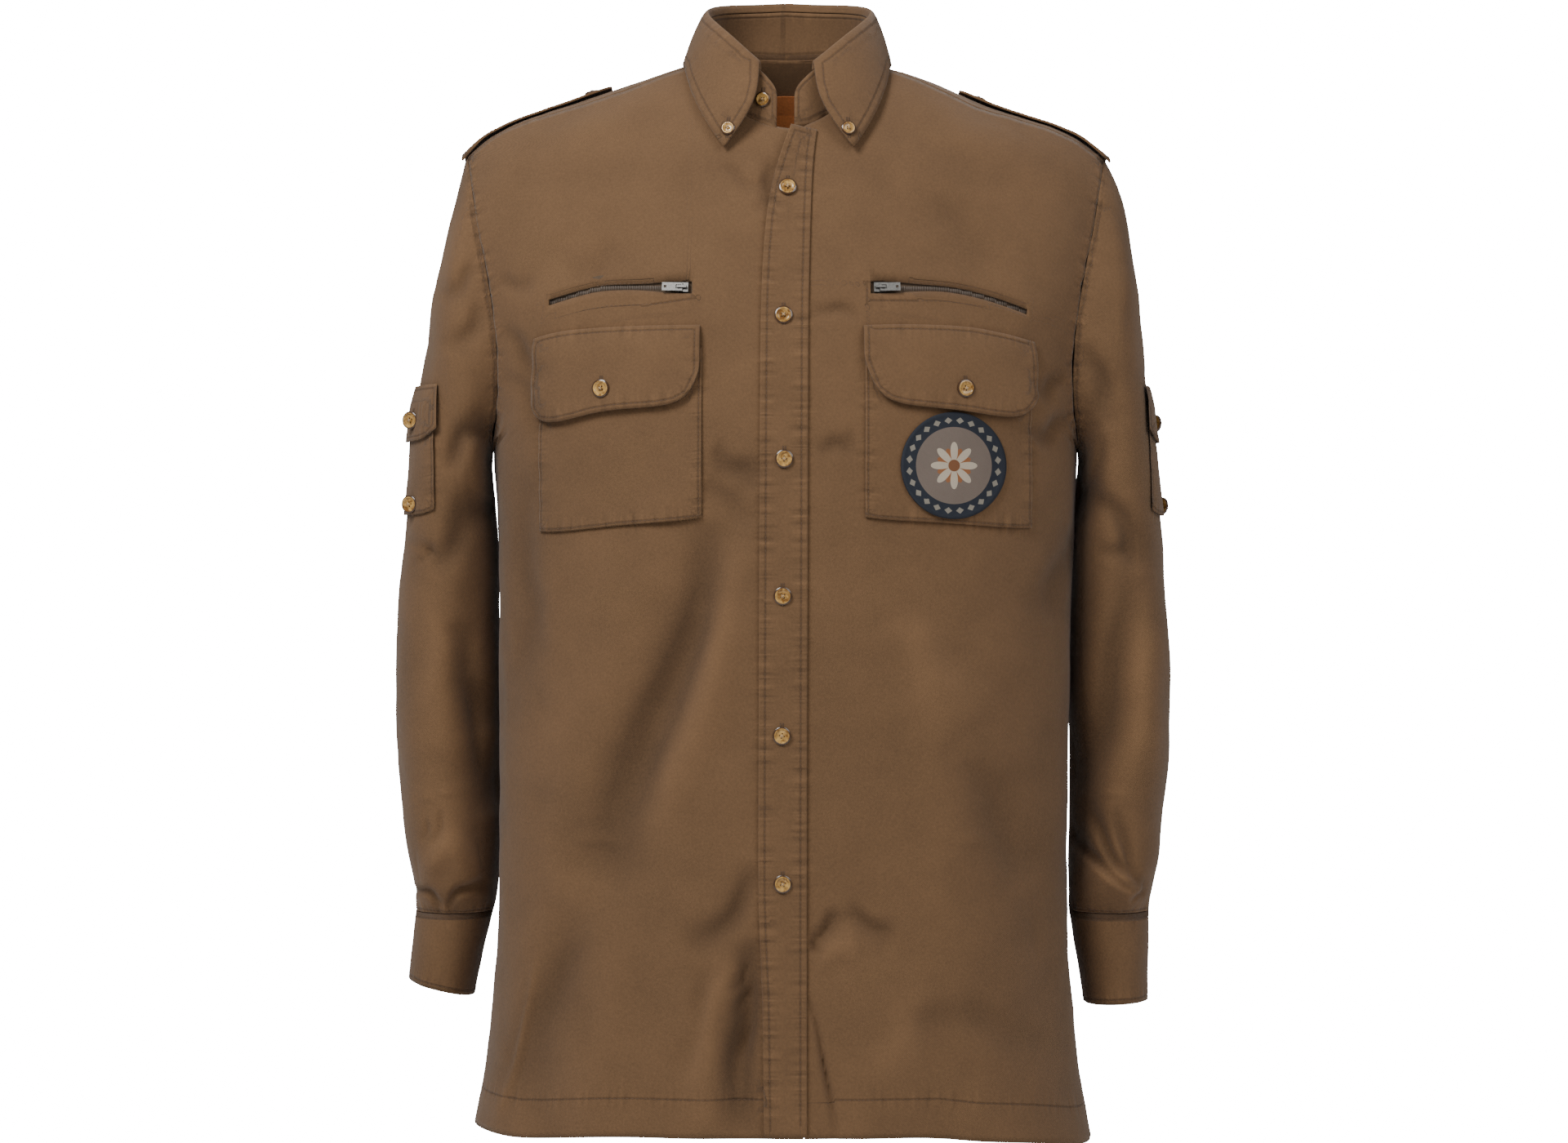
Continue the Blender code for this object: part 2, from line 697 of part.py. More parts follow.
for i in range(PLACKET_ROWS + 1):
    z = -0.0480 + (-0.7590 + 0.0480) * (i / PLACKET_ROWS) ** 1.15
    lifts.append([])
    for j in range(PLACKET_COLUMNS + 1):
        t = j / PLACKET_COLUMNS
        base = front_point(free_x(z) * (1 - t) + sewn_x(z) * t, z)
        places[i, j] = base
        ways[i, j] = unit(gradient(base))
        lifts[-1].append(0.0006 + edge_lift(z) * (1 - t) ** 1.3)
both_fronts = (front_skins[-1], front_skins[1])
inner = lay(both_fronts, places, ways, lifts)
placket_outer = inner + ways * 0.0014
wall("placket", placket_outer, inner, "cloth")
placket_skin = skin(placket_outer)


def zone(columns, rows, place):
    """A grid of places on the front from a rule of two shares."""
    places = np.zeros((rows + 1, columns + 1, 3))
    ways = np.zeros_like(places)
    for i in range(rows + 1):
        for j in range(columns + 1):
            x, z = place(j / columns, i / rows)
            places[i, j] = front_point(x, z)
            ways[i, j] = unit(gradient(places[i, j]))
    return places, ways


# Chest pockets: patch pockets sewn on the fronts, their mouths under the flaps
CHEST_POCKET = {
    1: table("x top bottom", (0.0562, -0.2060, -0.3248), (0.0620, -0.2060, -0.3260),
             (0.1160, -0.2060, -0.3290), (0.1680, -0.2110, -0.3322), (0.1745, -0.2120, -0.3318)),
    -1: table("x top bottom", (0.0588, -0.2060, -0.3252), (0.0650, -0.2060, -0.3264),
              (0.1160, -0.2060, -0.3305), (0.1690, -0.2110, -0.3350), (0.1750, -0.2120, -0.3346)),
}
pocket_skins = {}
for s in (-1, 1):
    rule = CHEST_POCKET[s]
    top_z = smooth_rows(rule, "x", "top")
    bottom_z = smooth_rows(rule, "x", "bottom")

    def pocket_place(u, v):
        x = rule[0]["x"] + (rule[-1]["x"] - rule[0]["x"]) * (0.5 - 0.5 * math.cos(math.pi * u) + u) / 2
        return s * x, top_z(x) + (bottom_z(x) - top_z(x)) * v

    places, ways = zone(8, 7, pocket_place)
    lifts = [[0.0006 + 0.0008 * math.sin(math.pi * j / 8) * (1 - i / 9) for j in range(9)] for i in range(8)]
    inner = lay((front_skins[s],), places, ways, lifts)
    outer = inner + ways * 0.0012
    wall("chest_pocket_" + mirror_name(s), outer, inner, "cloth")
    pocket_skins[s] = skin(outer)

# Pocket flaps, sewn above the pocket's mouth and standing off at the lower edge
POCKET_FLAP = {
    1: table("x top bottom", (0.0550, -0.1903, -0.2150), (0.0585, -0.1901, -0.2290),
             (0.0670, -0.1898, -0.2405), (0.0790, -0.1893, -0.2455), (0.1250, -0.1893, -0.2500),
             (0.1570, -0.1940, -0.2540), (0.1710, -0.1975, -0.2500), (0.1770, -0.1990, -0.2400)),
    -1: table("x top bottom", (0.0600, -0.1900, -0.2240), (0.0630, -0.1900, -0.2345),
              (0.0710, -0.1900, -0.2425), (0.0830, -0.1900, -0.2468), (0.1275, -0.1908, -0.2500),
              (0.1510, -0.1920, -0.2556), (0.1690, -0.1945, -0.2580), (0.1790, -0.1974, -0.2480)),
}
flap_skins = {}
for s in (-1, 1):
    rule = POCKET_FLAP[s]
    top_z = smooth_rows(rule, "x", "top")
    bottom_z = smooth_rows(rule, "x", "bottom")

    def flap_place(u, v):
        x = rule[0]["x"] + (rule[-1]["x"] - rule[0]["x"]) * (0.5 - 0.5 * math.cos(math.pi * u) + u) / 2
        return s * x, top_z(x) + (bottom_z(x) - top_z(x)) * v

    places, ways = zone(10, 5, flap_place)
    # From its second row down the flap clears the pocket's full height.
    stand_off = (0.0005, 0.0034, 0.0037, 0.0041, 0.0046, 0.0052)
    lifts = [[stand_off[i]] * 11 for i in range(6)]
    inner = lay((front_skins[s],), places, ways, lifts)
    outer = inner + ways * 0.0015
    wall("pocket_flap_" + mirror_name(s), outer, inner, "cloth")
    flap_skins[s] = skin(outer)


def blocks(name, boxes, holes, stuff, origin, axes):
    """One closed body made of boxes in a local frame; each box is low u, high u, n, n, v, v in mm."""
    cuts = [sorted({box[2 * k + side] for box in boxes + holes for side in (0, 1)}) for k in range(3)]
    cells = set()
    for i in range(len(cuts[0]) - 1):
        for j in range(len(cuts[1]) - 1):
            for k in range(len(cuts[2]) - 1):
                middle = [(cuts[axis][n] + cuts[axis][n + 1]) / 2 for axis, n in enumerate((i, j, k))]

                def inside(box):
                    return all(box[2 * a] < middle[a] < box[2 * a + 1] for a in range(3))

                if any(inside(box) for box in boxes) and not any(inside(box) for box in holes):
                    cells.add((i, j, k))
    corners = {}
    points = []

    def corner(key):
        if key not in corners:
            corners[key] = len(points)
            local = [cuts[axis][key[axis]] / 1000 for axis in range(3)]
            points.append(origin + sum(value * axes[n] for n, value in enumerate(local)))
        return corners[key]

    triangles = []
    for cell in sorted(cells):
        for axis in range(3):
            for step in (-1, 1):
                beside = list(cell)
                beside[axis] += step
                if tuple(beside) in cells:
                    continue
                others = [n for n in range(3) if n != axis]
                ring = []
                for du, dv in ((0, 0), (1, 0), (1, 1), (0, 1)):
                    key = list(cell)
                    key[axis] += 1 if step > 0 else 0
                    key[others[0]] += du
                    key[others[1]] += dv
                    ring.append(corner(tuple(key)))
                if (step > 0) == (axis == 1):
                    ring.reverse()
                triangles.append((ring[0], ring[1], ring[2]))
                triangles.append((ring[0], ring[2], ring[3]))
    return add_piece(name, points, triangles, stuff, smooth_degrees=30)


# Zips: tape behind the slit, a slider with a bail in the slit's wide end, a pull tab on the bail
TAPE_BELOW = 0.0007
SLIDER_IN = 0.0068
zip_frames = {}
for s in (-1, 1):
    zip_z = smooth_rows(ZIP_LINE[s], "x", "z")
    first = ZIP_LINE[s][0]["x"] - 0.004
    last = ZIP_LINE[s][-1]["x"] + 0.004

    def tape_place(u, v):
        x = first + (last - first) * u
        return s * x, zip_z(x) + 0.0095 - 0.019 * v

    places, ways = zone(14, 2, tape_place)
    top_side = np.zeros_like(places)
    for i in range(places.shape[0]):
        for j in range(places.shape[1]):
            found = outermost((front_skins[s],), places[i, j], ways[i, j])
            top_side[i, j] = found - ways[i, j] * (WALL + TAPE_BELOW)
    wall("zip_tape_" + mirror_name(s), top_side, top_side - ways * 0.0010, "tape")

    slider_x = ZIP_LINE[s][0]["x"] + SLIDER_IN
    base = front_point(s * slider_x, zip_z(slider_x))
    up = unit(gradient(base))
    origin = base + up * relief(base)
    ahead = front_point(s * (slider_x + 0.01), zip_z(slider_x + 0.01)) - base
    along = unit(ahead - up * float(ahead @ up))
    across = unit(np.cross(along, up))
    zip_frames[s] = (origin, along, up, across)
    blocks(
        "zip_slider_" + mirror_name(s),
        [
            (-4.5, 4.5, -1.8, 1.0, -3.4, 3.4),
            (-3.4, -2.6, 1.0, 3.4, -0.8, 0.8),
            (2.6, 3.4, 1.0, 3.4, -0.8, 0.8),
            (-2.6, 2.6, 2.6, 3.4, -0.8, 0.8),
        ],
        [],
        "metal",
        origin,
        (along, up, across),
    )
    blocks(
        "zip_pull_" + mirror_name(s),
        [(-0.5, 14.0, 1.35, 2.25, -3.0, 3.0)],
        [(0.5, 4.2, 1.35, 2.25, -1.5, 1.5), (10.9, 12.7, 1.35, 2.25, -0.9, 0.9)],
        "metal",
        origin,
        (along, up, across),
    )

# Sleeves: rings that start on the armhole, turn level below the underarm and end at the cuff
SLEEVE_OUTLINE = table(
    "z right left",
    (-0.0578, 0.2345, 0.2345),
    (-0.0690, 0.2369, 0.2406),
    (-0.0810, 0.2402, 0.2460),
    (-0.0990, 0.2439, 0.2508),
    (-0.1206, 0.2473, 0.2542),
    (-0.1448, 0.2522, 0.2565),
    (-0.1691, 0.2585, 0.2578),
    (-0.1933, 0.2642, 0.2607),
    (-0.2176, 0.2690, 0.2643),
    (-0.2418, 0.2722, 0.2680),
    (-0.2660, 0.2745, 0.2705),
    (-0.2903, 0.2765, 0.2733),
    (-0.3145, 0.2785, 0.2768),
    (-0.3388, 0.2815, 0.2795),
    (-0.3630, 0.2848, 0.2812),
    (-0.3872, 0.2874, 0.2830),
    (-0.4357, 0.2891, 0.2842),
    (-0.4842, 0.2891, 0.2845),
    (-0.5084, 0.2885, 0.2848),
    (-0.5327, 0.2858, 0.2824),
    (-0.5569, 0.2818, 0.2788),
    (-0.5812, 0.2758, 0.2745),
    (-0.6000, 0.2742, 0.2706),
    (-0.6130, 0.2738, 0.2696),
)
SLEEVE_RINGS = table(
    "outer_z inner_z inner_right inner_left centre_y depth start",
    (-0.0578, -0.2750, 0.2147, 0.2147, 0.000, 0.0620, 1.00),
    (-0.0780, -0.2775, 0.2160, 0.2160, 0.000, 0.0640, 0.62),
    (-0.1050, -0.2815, 0.2168, 0.2168, 0.001, 0.0665, 0.30),
    (-0.1350, -0.2875, 0.2165, 0.2165, 0.003, 0.0690, 0.10),
    (-0.1680, -0.2955, 0.2155, 0.2155, 0.006, 0.0710, 0.00),
    (-0.2030, -0.3060, 0.2145, 0.2145, 0.010, 0.0720, 0.00),
    (-0.2400, -0.3190, 0.2135, 0.2135, 0.014, 0.0725, 0.00),
    (-0.2780, -0.3350, 0.2126, 0.2124, 0.018, 0.0725, 0.00),
    (-0.3160, -0.3550, 0.2120, 0.2115, 0.021, 0.0720, 0.00),
    (-0.3560, -0.3810, 0.2115, 0.2110, 0.024, 0.0710, 0.00),
    (-0.3980, -0.4120, 0.2112, 0.2105, 0.027, 0.0700, 0.00),
    (-0.4400, -0.4460, 0.2110, 0.2102, 0.029, 0.0690, 0.00),
    (-0.4800, -0.4820, 0.2110, 0.2100, 0.031, 0.0680, 0.00),
    (-0.5150, -0.5160, 0.2110, 0.2100, 0.032, 0.0675, 0.00),
    (-0.5450, -0.5460, 0.2110, 0.2100, 0.032, 0.0670, 0.00),
    (-0.5720, -0.5725, 0.2115, 0.2100, 0.032, 0.0655, 0.00),
    (-0.5920, -0.5920, 0.2125, 0.2100, 0.031, 0.0615, 0.00),
    (-0.6060, -0.6060, 0.2142, 0.2102, 0.031, 0.0540, 0.00),
    (-0.6130, -0.6130, 0.2158, 0.2104, 0.031, 0.0465, 0.00),
)
SLEEVE_FOLDS = {
    -1: table(
        "x1 z1 x2 z2 height width",
        (-0.283, -0.512, -0.235, -0.521, -0.0045, 0.010),
        (-0.284, -0.533, -0.240, -0.540, 0.0030, 0.011),
        (-0.279, -0.345, -0.262, -0.352, -0.0030, 0.009),
        (-0.228, -0.310, -0.226, -0.590, -0.0040, 0.010),
        (-0.262, -0.200, -0.232, -0.300, -0.0035, 0.012),
        (-0.275, -0.578, -0.230, -0.585, 0.0035, 0.012),
    ),
    1: table(
        "x1 z1 x2 z2 height width",
        (0.262, -0.345, 0.214, -0.540, -0.0055, 0.012),
        (0.275, -0.352, 0.236, -0.349, -0.0035, 0.010),
        (0.276, -0.420, 0.250, -0.520, 0.0030, 0.016),
        (0.240, -0.215, 0.232, -0.290, -0.0030, 0.012),
        (0.270, -0.575, 0.228, -0.586, 0.0035, 0.012),
        (0.276, -0.548, 0.240, -0.556, -0.0035, 0.009),
    ),
}
SLEEVE_COLUMNS = ARMHOLE_FRONT_ROWS + ARMHOLE_BACK_ROWS + YOKE_ROWS
SLEEVE_POWER = 2.25
sleeve_grids = {}
sleeve_skins = {}
sleeve_ends = {}


def bent(value, power):
    return math.copysign(abs(value) ** (2 / power), value)


def sleeve_side(s):
    return "left" if s > 0 else "right"


for s in (-1, 1):
    (front_edge, front_ways), (yoke_edge, yoke_ways) = armhole_loops[s]
    back_points, back_ways = back_edge[s]
    loop_points = np.concatenate((front_edge, back_points[::-1][1:], yoke_edge[::-1][1:-1]))
    loop_ways = np.concatenate((front_ways, back_ways[::-1][1:], yoke_ways[::-1][1:-1]))
    outline = smooth_rows(SLEEVE_OUTLINE, "z", sleeve_side(s))
    first = SLEEVE_RINGS[0]
    tip = np.array((s * outline(first["outer_z"]), 0.0, first["outer_z"]))
    pit = np.array((s * first["inner_" + mirror_name(s)], 0.0, first["inner_z"]))
    middle = (tip + pit) / 2
    reach = (tip - pit) / 2
    spans = []
    for p in loop_points:
        up_share = float((p - middle) @ reach) / float(reach @ reach)
        spans.append(math.atan2(-p[1] / first["depth"], up_share) % (2 * math.pi))
    # The angle starts at the yoke's front seam and grows toward the front, the pit and the back.
    for k in range(1, len(spans)):
        if spans[k] < spans[k - 1]:
            spans[k] += 2 * math.pi
    even = [spans[0] + 2 * math.pi * k / SLEEVE_COLUMNS for k in range(SLEEVE_COLUMNS)]

    def ring(row, turns, plain_first=False):
        outer_end = np.array((s * outline(row["outer_z"]), 0.0, row["outer_z"]))
        inner_end = np.array((s * row["inner_" + mirror_name(s)], 0.0, row["inner_z"]))
        centre = (outer_end + inner_end) / 2 + np.array((0, row["centre_y"], 0))
        half = (outer_end - inner_end) / 2
        return np.array([
            centre + half * bent(math.cos(t), SLEEVE_POWER)
            + np.array((0, -row["depth"] * bent(math.sin(t), SLEEVE_POWER), 0))
            for t in turns
        ])

    plain = ring(first, spans)
    grid = []
    for k, row in enumerate(SLEEVE_RINGS):
        mix = smoothstep(0, 6, k)
        turns = [a * (1 - mix) + b * mix for a, b in zip(spans, even)]
        points = ring(row, turns)
        grid.append(points + (loop_points - plain) * row["start"])
    grid = np.array(grid)
    grid[0] = loop_points

    # Folds, then room beside the body
    def around(grid):
        before = np.roll(grid, 1, axis=1)
        after = np.roll(grid, -1, axis=1)
        along = np.zeros_like(grid)
        along[1:-1] = grid[2:] - grid[:-2]
        along[0] = grid[1] - grid[0]
        along[-1] = grid[-1] - grid[-2]
        ways = np.cross(after - before, along)
        ways /= np.linalg.norm(ways, axis=2)[:, :, None]
        heart = grid.mean(axis=1)[:, None]
        if float(np.sum((grid - heart)[8:] * ways[8:])) < 0:
            ways = -ways
        return ways

    ways = around(grid)
    for k in range(3, len(SLEEVE_RINGS)):
        for j in range(SLEEVE_COLUMNS):
            p = grid[k, j]
            centre_y = SLEEVE_RINGS[k]["centre_y"]
            facing = smoothstep(0.0, 0.030, abs(p[1] - centre_y))
            grid[k, j] = p + ways[k, j] * fold_height(p, SLEEVE_FOLDS[s]) * facing
    for k in range(1, len(SLEEVE_RINGS)):
        room = min(0.0006 * k, 0.0012)
        for j in range(SLEEVE_COLUMNS):
            p = grid[k, j]
            if p[2] > UNDERARM + 0.004:
                continue
            for _ in range(40):
                test = p.copy()
                test[0] -= s * room
                if field(test) > 0:
                    break
                p[0] += s * 0.0005
    ways = around(grid)
    for j in range(SLEEVE_COLUMNS):
        ways[0, j] = unit(unit(loop_ways[j]) + ways[0, j])
    draw_back(grid, "first_row", 0.0003)
    draw_back(grid, "last_row", 0.0002)
    wall("sleeve_" + mirror_name(s), grid, grid - ways * WALL, "cloth", loop=True)
    sleeve_grids[s] = grid
    sleeve_skins[s] = skin(grid, loop=True)
    sleeve_ends[s] = (grid[-1].copy(), ways[-1].copy())

# Cuffs: strips that lap at the hidden back, wider at the wrist's outer side
CUFFS = {
    -1: table("share x y half depth drop", (0.0, 0.2449, 0.0310, 0.0289, 0.0465, 0.0),
              (1.0, 0.2550, 0.0300, 0.0243, 0.0440, -0.0130)),
    1: table("share x y half depth drop", (0.0, 0.2400, 0.0310, 0.0296, 0.0465, 0.0),
             (1.0, 0.2450, 0.0300, 0.0240, 0.0440, -0.0030)),
}
CUFF_FOOT = {-1: -0.6630, 1: -0.6785}
CUFF_COLUMNS = 28
CUFF_ROWS = 3
cuff_skins = {}
for s in (-1, 1):
    grid = np.zeros((CUFF_ROWS + 1, CUFF_COLUMNS + 1, 3))
    ways = np.zeros_like(grid)
    top_row, low_row = CUFFS[s]
    for i in range(CUFF_ROWS + 1):
        v = i / CUFF_ROWS
        size = {key: top_row[key] + (low_row[key] - top_row[key]) * v for key in top_row}
        for j in range(CUFF_COLUMNS + 1):
            lap = 392 * j / CUFF_COLUMNS
            turn = math.radians(270 + lap)
            swell = 0.0026 * smoothstep(322, 352, lap)
            outward, back = math.cos(turn), math.sin(turn)
            x = s * (size["x"] + (size["half"] + swell) * bent(outward, 2.2))
            y = size["y"] - (size["depth"] + swell) * bent(back, 2.2)
            top_z = -0.6135
            foot = CUFF_FOOT[s] + size["drop"] / max(v, 0.01) * v * (0.5 - 0.5 * outward)
            grid[i, j] = (x, y, top_z + (foot - top_z) * v)
            ways[i, j] = unit(np.array((
                s * bent(outward, 2.2) / size["half"], -bent(back, 2.2) / size["depth"], 0.0)))
    wall("cuff_" + mirror_name(s), grid, grid - ways * 0.0018, "cloth")
    cuff_skins[s] = skin(grid)

# Sleeve pockets and their flaps, laid round the outer side of the upper arms
SLEEVE_POCKET = {
    -1: table("part first last top bottom", ("pocket", -16, 80, -0.2440, -0.3220),
              ("flap", -20, 84, -0.2280, -0.2690)),
    1: table("part first last top bottom", ("pocket", -44, 56, -0.2440, -0.3220),
             ("flap", -48, 60, -0.2280, -0.2690)),
}
AXIS_Y = 0.010
sleeve_pocket_skins = {}
sleeve_flap_skins = {}


def sleeve_zone(s, first, last, top_z, bottom_z, columns, rows, rounding):
    places = np.zeros((rows + 1, columns + 1, 3))
    ways = np.zeros_like(places)
    for i in range(rows + 1):
        for j in range(columns + 1):
            u = j / columns
            angle = math.radians(first + (last - first) * u)
            v = i / rows
            low = bottom_z + rounding * (abs(2 * u - 1) ** 5)
            z = top_z + (low - top_z) * v
            out = unit(np.array((s * math.cos(angle), -1.7 * math.sin(angle), 0.0)))
            axis = np.array((s * 0.2470, AXIS_Y, z))
            hit = sleeve_skins[s].ray_cast(Vector(axis + out * 0.12), -Vector(out), 0.12)
            places[i, j] = np.array(hit[0])
            ways[i, j] = unit(out + np.array((0.0, 0.0, 0.12)))
    return places, ways


for s in (-1, 1):
    pocket, flap = SLEEVE_POCKET[s]
    places, ways = sleeve_zone(s, pocket["first"], pocket["last"], pocket["top"], pocket["bottom"], 8, 6, 0.004)
    lifts = [[0.0007 + 0.0008 * math.sin(math.pi * j / 8) for j in range(9)] for i in range(7)]
    inner = lay((sleeve_skins[s],), places, ways, lifts)
    outer = inner + ways * 0.0012
    wall("sleeve_pocket_" + mirror_name(s), outer, inner, "cloth")
    sleeve_pocket_skins[s] = skin(outer)
    places, ways = sleeve_zone(s, flap["first"], flap["last"], flap["top"], flap["bottom"], 8, 4, 0.009)
    lifts = [[(0.0016, 0.0034, 0.0036, 0.0038, 0.0041)[i]] * 9 for i in range(5)]
    inner = lay((sleeve_skins[s],), places, ways, lifts)
    outer = inner + ways * 0.0014
    wall("sleeve_flap_" + mirror_name(s), outer, inner, "cloth")
    sleeve_flap_skins[s] = skin(outer)

# Epaulettes: straps along the shoulder ridge, loose near the neck and sewn in at the armhole
EPAULETTE = table(
    "x half lift",
    (0.1270, 0.0120, 0.0016),
    (0.1320, 0.0185, 0.0018),
    (0.1420, 0.0215, 0.0018),
    (0.1600, 0.0225, 0.0013),
    (0.1800, 0.0230, 0.0013),
    (0.2000, 0.0235, 0.0017),
    (0.2150, 0.0240, 0.0024),
    (0.2260, 0.0240, 0.0026),
    (0.2345, 0.0240, 0.0026),
)
epaulette_skins = {}
for s in (-1, 1):
    places = np.zeros((len(EPAULETTE), 5, 3))
    ways = np.zeros_like(places)
    lifts = []
    for i, row in enumerate(EPAULETTE):
        lifts.append([row["lift"]] * 5)
        for j in range(5):
            y = 0.004 + row["half"] * (j / 2 - 1)
            x = min(row["x"], 0.2330)
            places[i, j] = top_point(s * x, y)
            ways[i, j] = unit(unit(gradient(places[i, j])) * np.array((0.6, 0.45, 1.0)))
            if row["x"] > 0.2330:
                places[i, j] += np.array((s * (row["x"] - 0.2330), 0, -0.0020))
    inner = lay((yoke_skin, front_skins[s], sleeve_skins[s]), places, ways, lifts)
    outer = inner + ways * 0.0016
    wall("epaulette_" + mirror_name(s), outer, inner, "cloth")
    epaulette_skins[s] = skin(outer)

# Collar stand: a band on the neckline, open in front
STAND_TOP = table(
    "turn half y z",
    (0, 0.0630, 0.0590, 0.0565),
    (45, 0.0630, 0.0590, 0.0525),
    (90, 0.0628, 0.0600, 0.0425),
    (120, 0.0630, 0.0690, 0.0285),
    (140, 0.0632, 0.0730, 0.0150),
    (155, 0.0640, 0.0740, 0.0020),
    (166, 0.0660, 0.0745, -0.0070),
    (171, 0.0670, 0.0750, -0.0105),
    (174.5, 0.0680, 0.0755, -0.0170),
)
STAND_COLUMNS = 28
STAND_WALL = 0.0016
stand_half = smooth_rows(STAND_TOP, "turn", "half")
stand_deep = smooth_rows(STAND_TOP, "turn", "y")
stand_high = smooth_rows(STAND_TOP, "turn", "z")


def stand_top(turn):
    a = math.radians(turn)
    size = abs(turn)
    across = (stand_half(size) - 0.0028) * math.sin(a) + 0.0030 * abs(math.sin(a))
    return np.array((across, stand_deep(size) * math.cos(a), stand_high(size)))


def plan_way(turn):
    a = math.radians(turn)
    back = NECK_BACK if math.cos(a) > 0 else NECK_FRONT
    return unit(np.array((math.sin(a) / NECK_HALF, math.cos(a) / back, 0.0)))


turns = []
for k in range(STAND_COLUMNS + 1):
    share = 2 * k / STAND_COLUMNS - 1
    turns.append(174.5 * (0.72 * share + 0.28 * math.sin(math.pi / 2 * share)))
grid = np.zeros((4, STAND_COLUMNS + 1, 3))
ways = np.zeros_like(grid)
for j, turn in enumerate(turns):
    foot = neck_point(turn) + np.array((0, 0, 0.0009))
    head = stand_top(turn)
    for i, v in enumerate((0.0, 0.33, 0.68, 1.0)):
        grid[i, j] = foot * (1 - v) + head * v + plan_way(turn) * 0.0010 * math.sin(math.pi * v)
        ways[i, j] = plan_way(turn)
stand_outer = grid
wall("collar_stand", grid, grid - ways * STAND_WALL, "cloth")
stand_skin = skin(grid)

# Collar fall: hooked over the stand and turned down to the leaf's edge
LEAF_EDGE = table(
    "x y z",
    (0.0470, -0.0905, -0.0608),
    (0.0570, -0.0815, -0.0465),
    (0.0665, -0.0680, -0.0285),
    (0.0730, -0.0500, -0.0115),
    (0.0768, -0.0290, 0.0050),
    (0.0785, -0.0050, 0.0092),
    (0.0777, 0.0200, 0.0092),
    (0.0697, 0.0450, 0.0095),
    (0.0520, 0.0660, 0.0100),
    (0.0260, 0.0780, 0.0105),
    (0.0000, 0.0815, 0.0108),
)
FALL_COLUMNS = 28
FALL_WALL = 0.0015
edge_points = [np.array((row["x"], row["y"], row["z"])) for row in LEAF_EDGE]
half_edge = []
for k in range(101):
    t = k / 100 * (len(edge_points) - 1)
    i = min(int(t), len(edge_points) - 2)
    a, b = edge_points[i], edge_points[i + 1]
    before = edge_points[max(i - 1, 0)]
    after = edge_points[min(i + 2, len(edge_points) - 1)]
    if i == len(edge_points) - 2:
        after = a * np.array((-1, 1, 1))
    t -= i
    half_edge.append(0.5 * (2 * a + (b - before) * t + (2 * before - 5 * a + 4 * b - after) * t * t
                            + (3 * a - before - 3 * b + after) * t**3))
fall_half = resample(half_edge, FALL_COLUMNS // 2)
fall_edge = []
for p in fall_half:
    shifted = p.copy()
    near = smoothstep(0.0, -0.060, p[2])
    shifted[0] = -(p[0] - 0.0030)
    fall_edge.append(shifted)
right_half = []
for p in fall_half[::-1][1:]:
    shifted = p.copy()
    near = smoothstep(0.0, -0.060, p[2])
    shifted[0] = p[0] + 0.0020 * near
    right_half.append(shifted)
fall_edge = np.array(fall_edge + right_half)
fall_turns = []
for k in range(FALL_COLUMNS + 1):
    share = 2 * k / FALL_COLUMNS - 1
    fall_turns.append(162.5 * (0.80 * share + 0.20 * math.sin(math.pi / 2 * share)))
HOOK_OUTER = ((-0.0016, 0.0005), (-0.0014, 0.0046), (0.0006, 0.0070), (0.0036, 0.0056))
HOOK_INNER = ((0.0000, 0.0005), (0.0000, 0.0040), (0.0009, 0.0053), (0.0024, 0.0042))
LEAF_SHARES = (0.26, 0.52, 0.78, 1.0)
rows = len(HOOK_OUTER) + len(LEAF_SHARES)
outer = np.zeros((rows, FALL_COLUMNS + 1, 3))
inner = np.zeros_like(outer)
for j, turn in enumerate(fall_turns):
    head = stand_top(turn)
    # The stand is cut in facets, so the hook sits on the straight line between its columns.
    place = np.interp(turn, turns, range(len(turns)))
    k = min(int(place), STAND_COLUMNS - 1)
    head = stand_outer[-1, k] * (1 - (place - k)) + stand_outer[-1, k + 1] * (place - k)
    way = plan_way(turn)
    for i, (out, up) in enumerate(HOOK_OUTER):
        outer[i, j] = head + way * out + np.array((0, 0, up))
    for i, (out, up) in enumerate(HOOK_INNER):
        inner[i, j] = head + way * out + np.array((0, 0, up))
    start = outer[len(HOOK_OUTER) - 1, j]
    end = fall_edge[j]
    edge_share = abs(2 * j / FALL_COLUMNS - 1)
    inward = -0.0105 * smoothstep(0.70, 1.0, edge_share) * math.copysign(1, turn)
    for n, v in enumerate(LEAF_SHARES):
        i = len(HOOK_OUTER) + n
        swell = 0.0045 - 0.0040 * abs(math.sin(math.radians(turn))) ** 2
        bulge = way * swell * math.sin(math.pi * v) + np.array((0, 0, 0.0020 * math.sin(math.pi * v)))
        sweep = np.array((inward * math.sin(math.pi * v) ** 1.2, 0.0, 0.0))
        outer[i, j] = start * (1 - v) + end * v + bulge + sweep
leaf_first = len(HOOK_OUTER) - 1
across_way = np.zeros_like(outer)
for i in range(leaf_first, rows):
    for j in range(FALL_COLUMNS + 1):
        ahead = outer[min(i + 1, rows - 1), j] - outer[max(i - 1, leaf_first), j]
        beside = outer[i, min(j + 1, FALL_COLUMNS)] - outer[i, max(j - 1, 0)]
        way = unit(np.cross(ahead, beside))
        if float(way @ plan_way(fall_turns[j])) < 0:
            way = -way
        across_way[i, j] = way
for i in range(leaf_first + 1, rows):
    inner[i] = outer[i] - across_way[i] * FALL_WALL
wall("collar_fall", outer, inner, "cloth")
fall_skin = skin(outer[leaf_first:])
fall_outer = outer

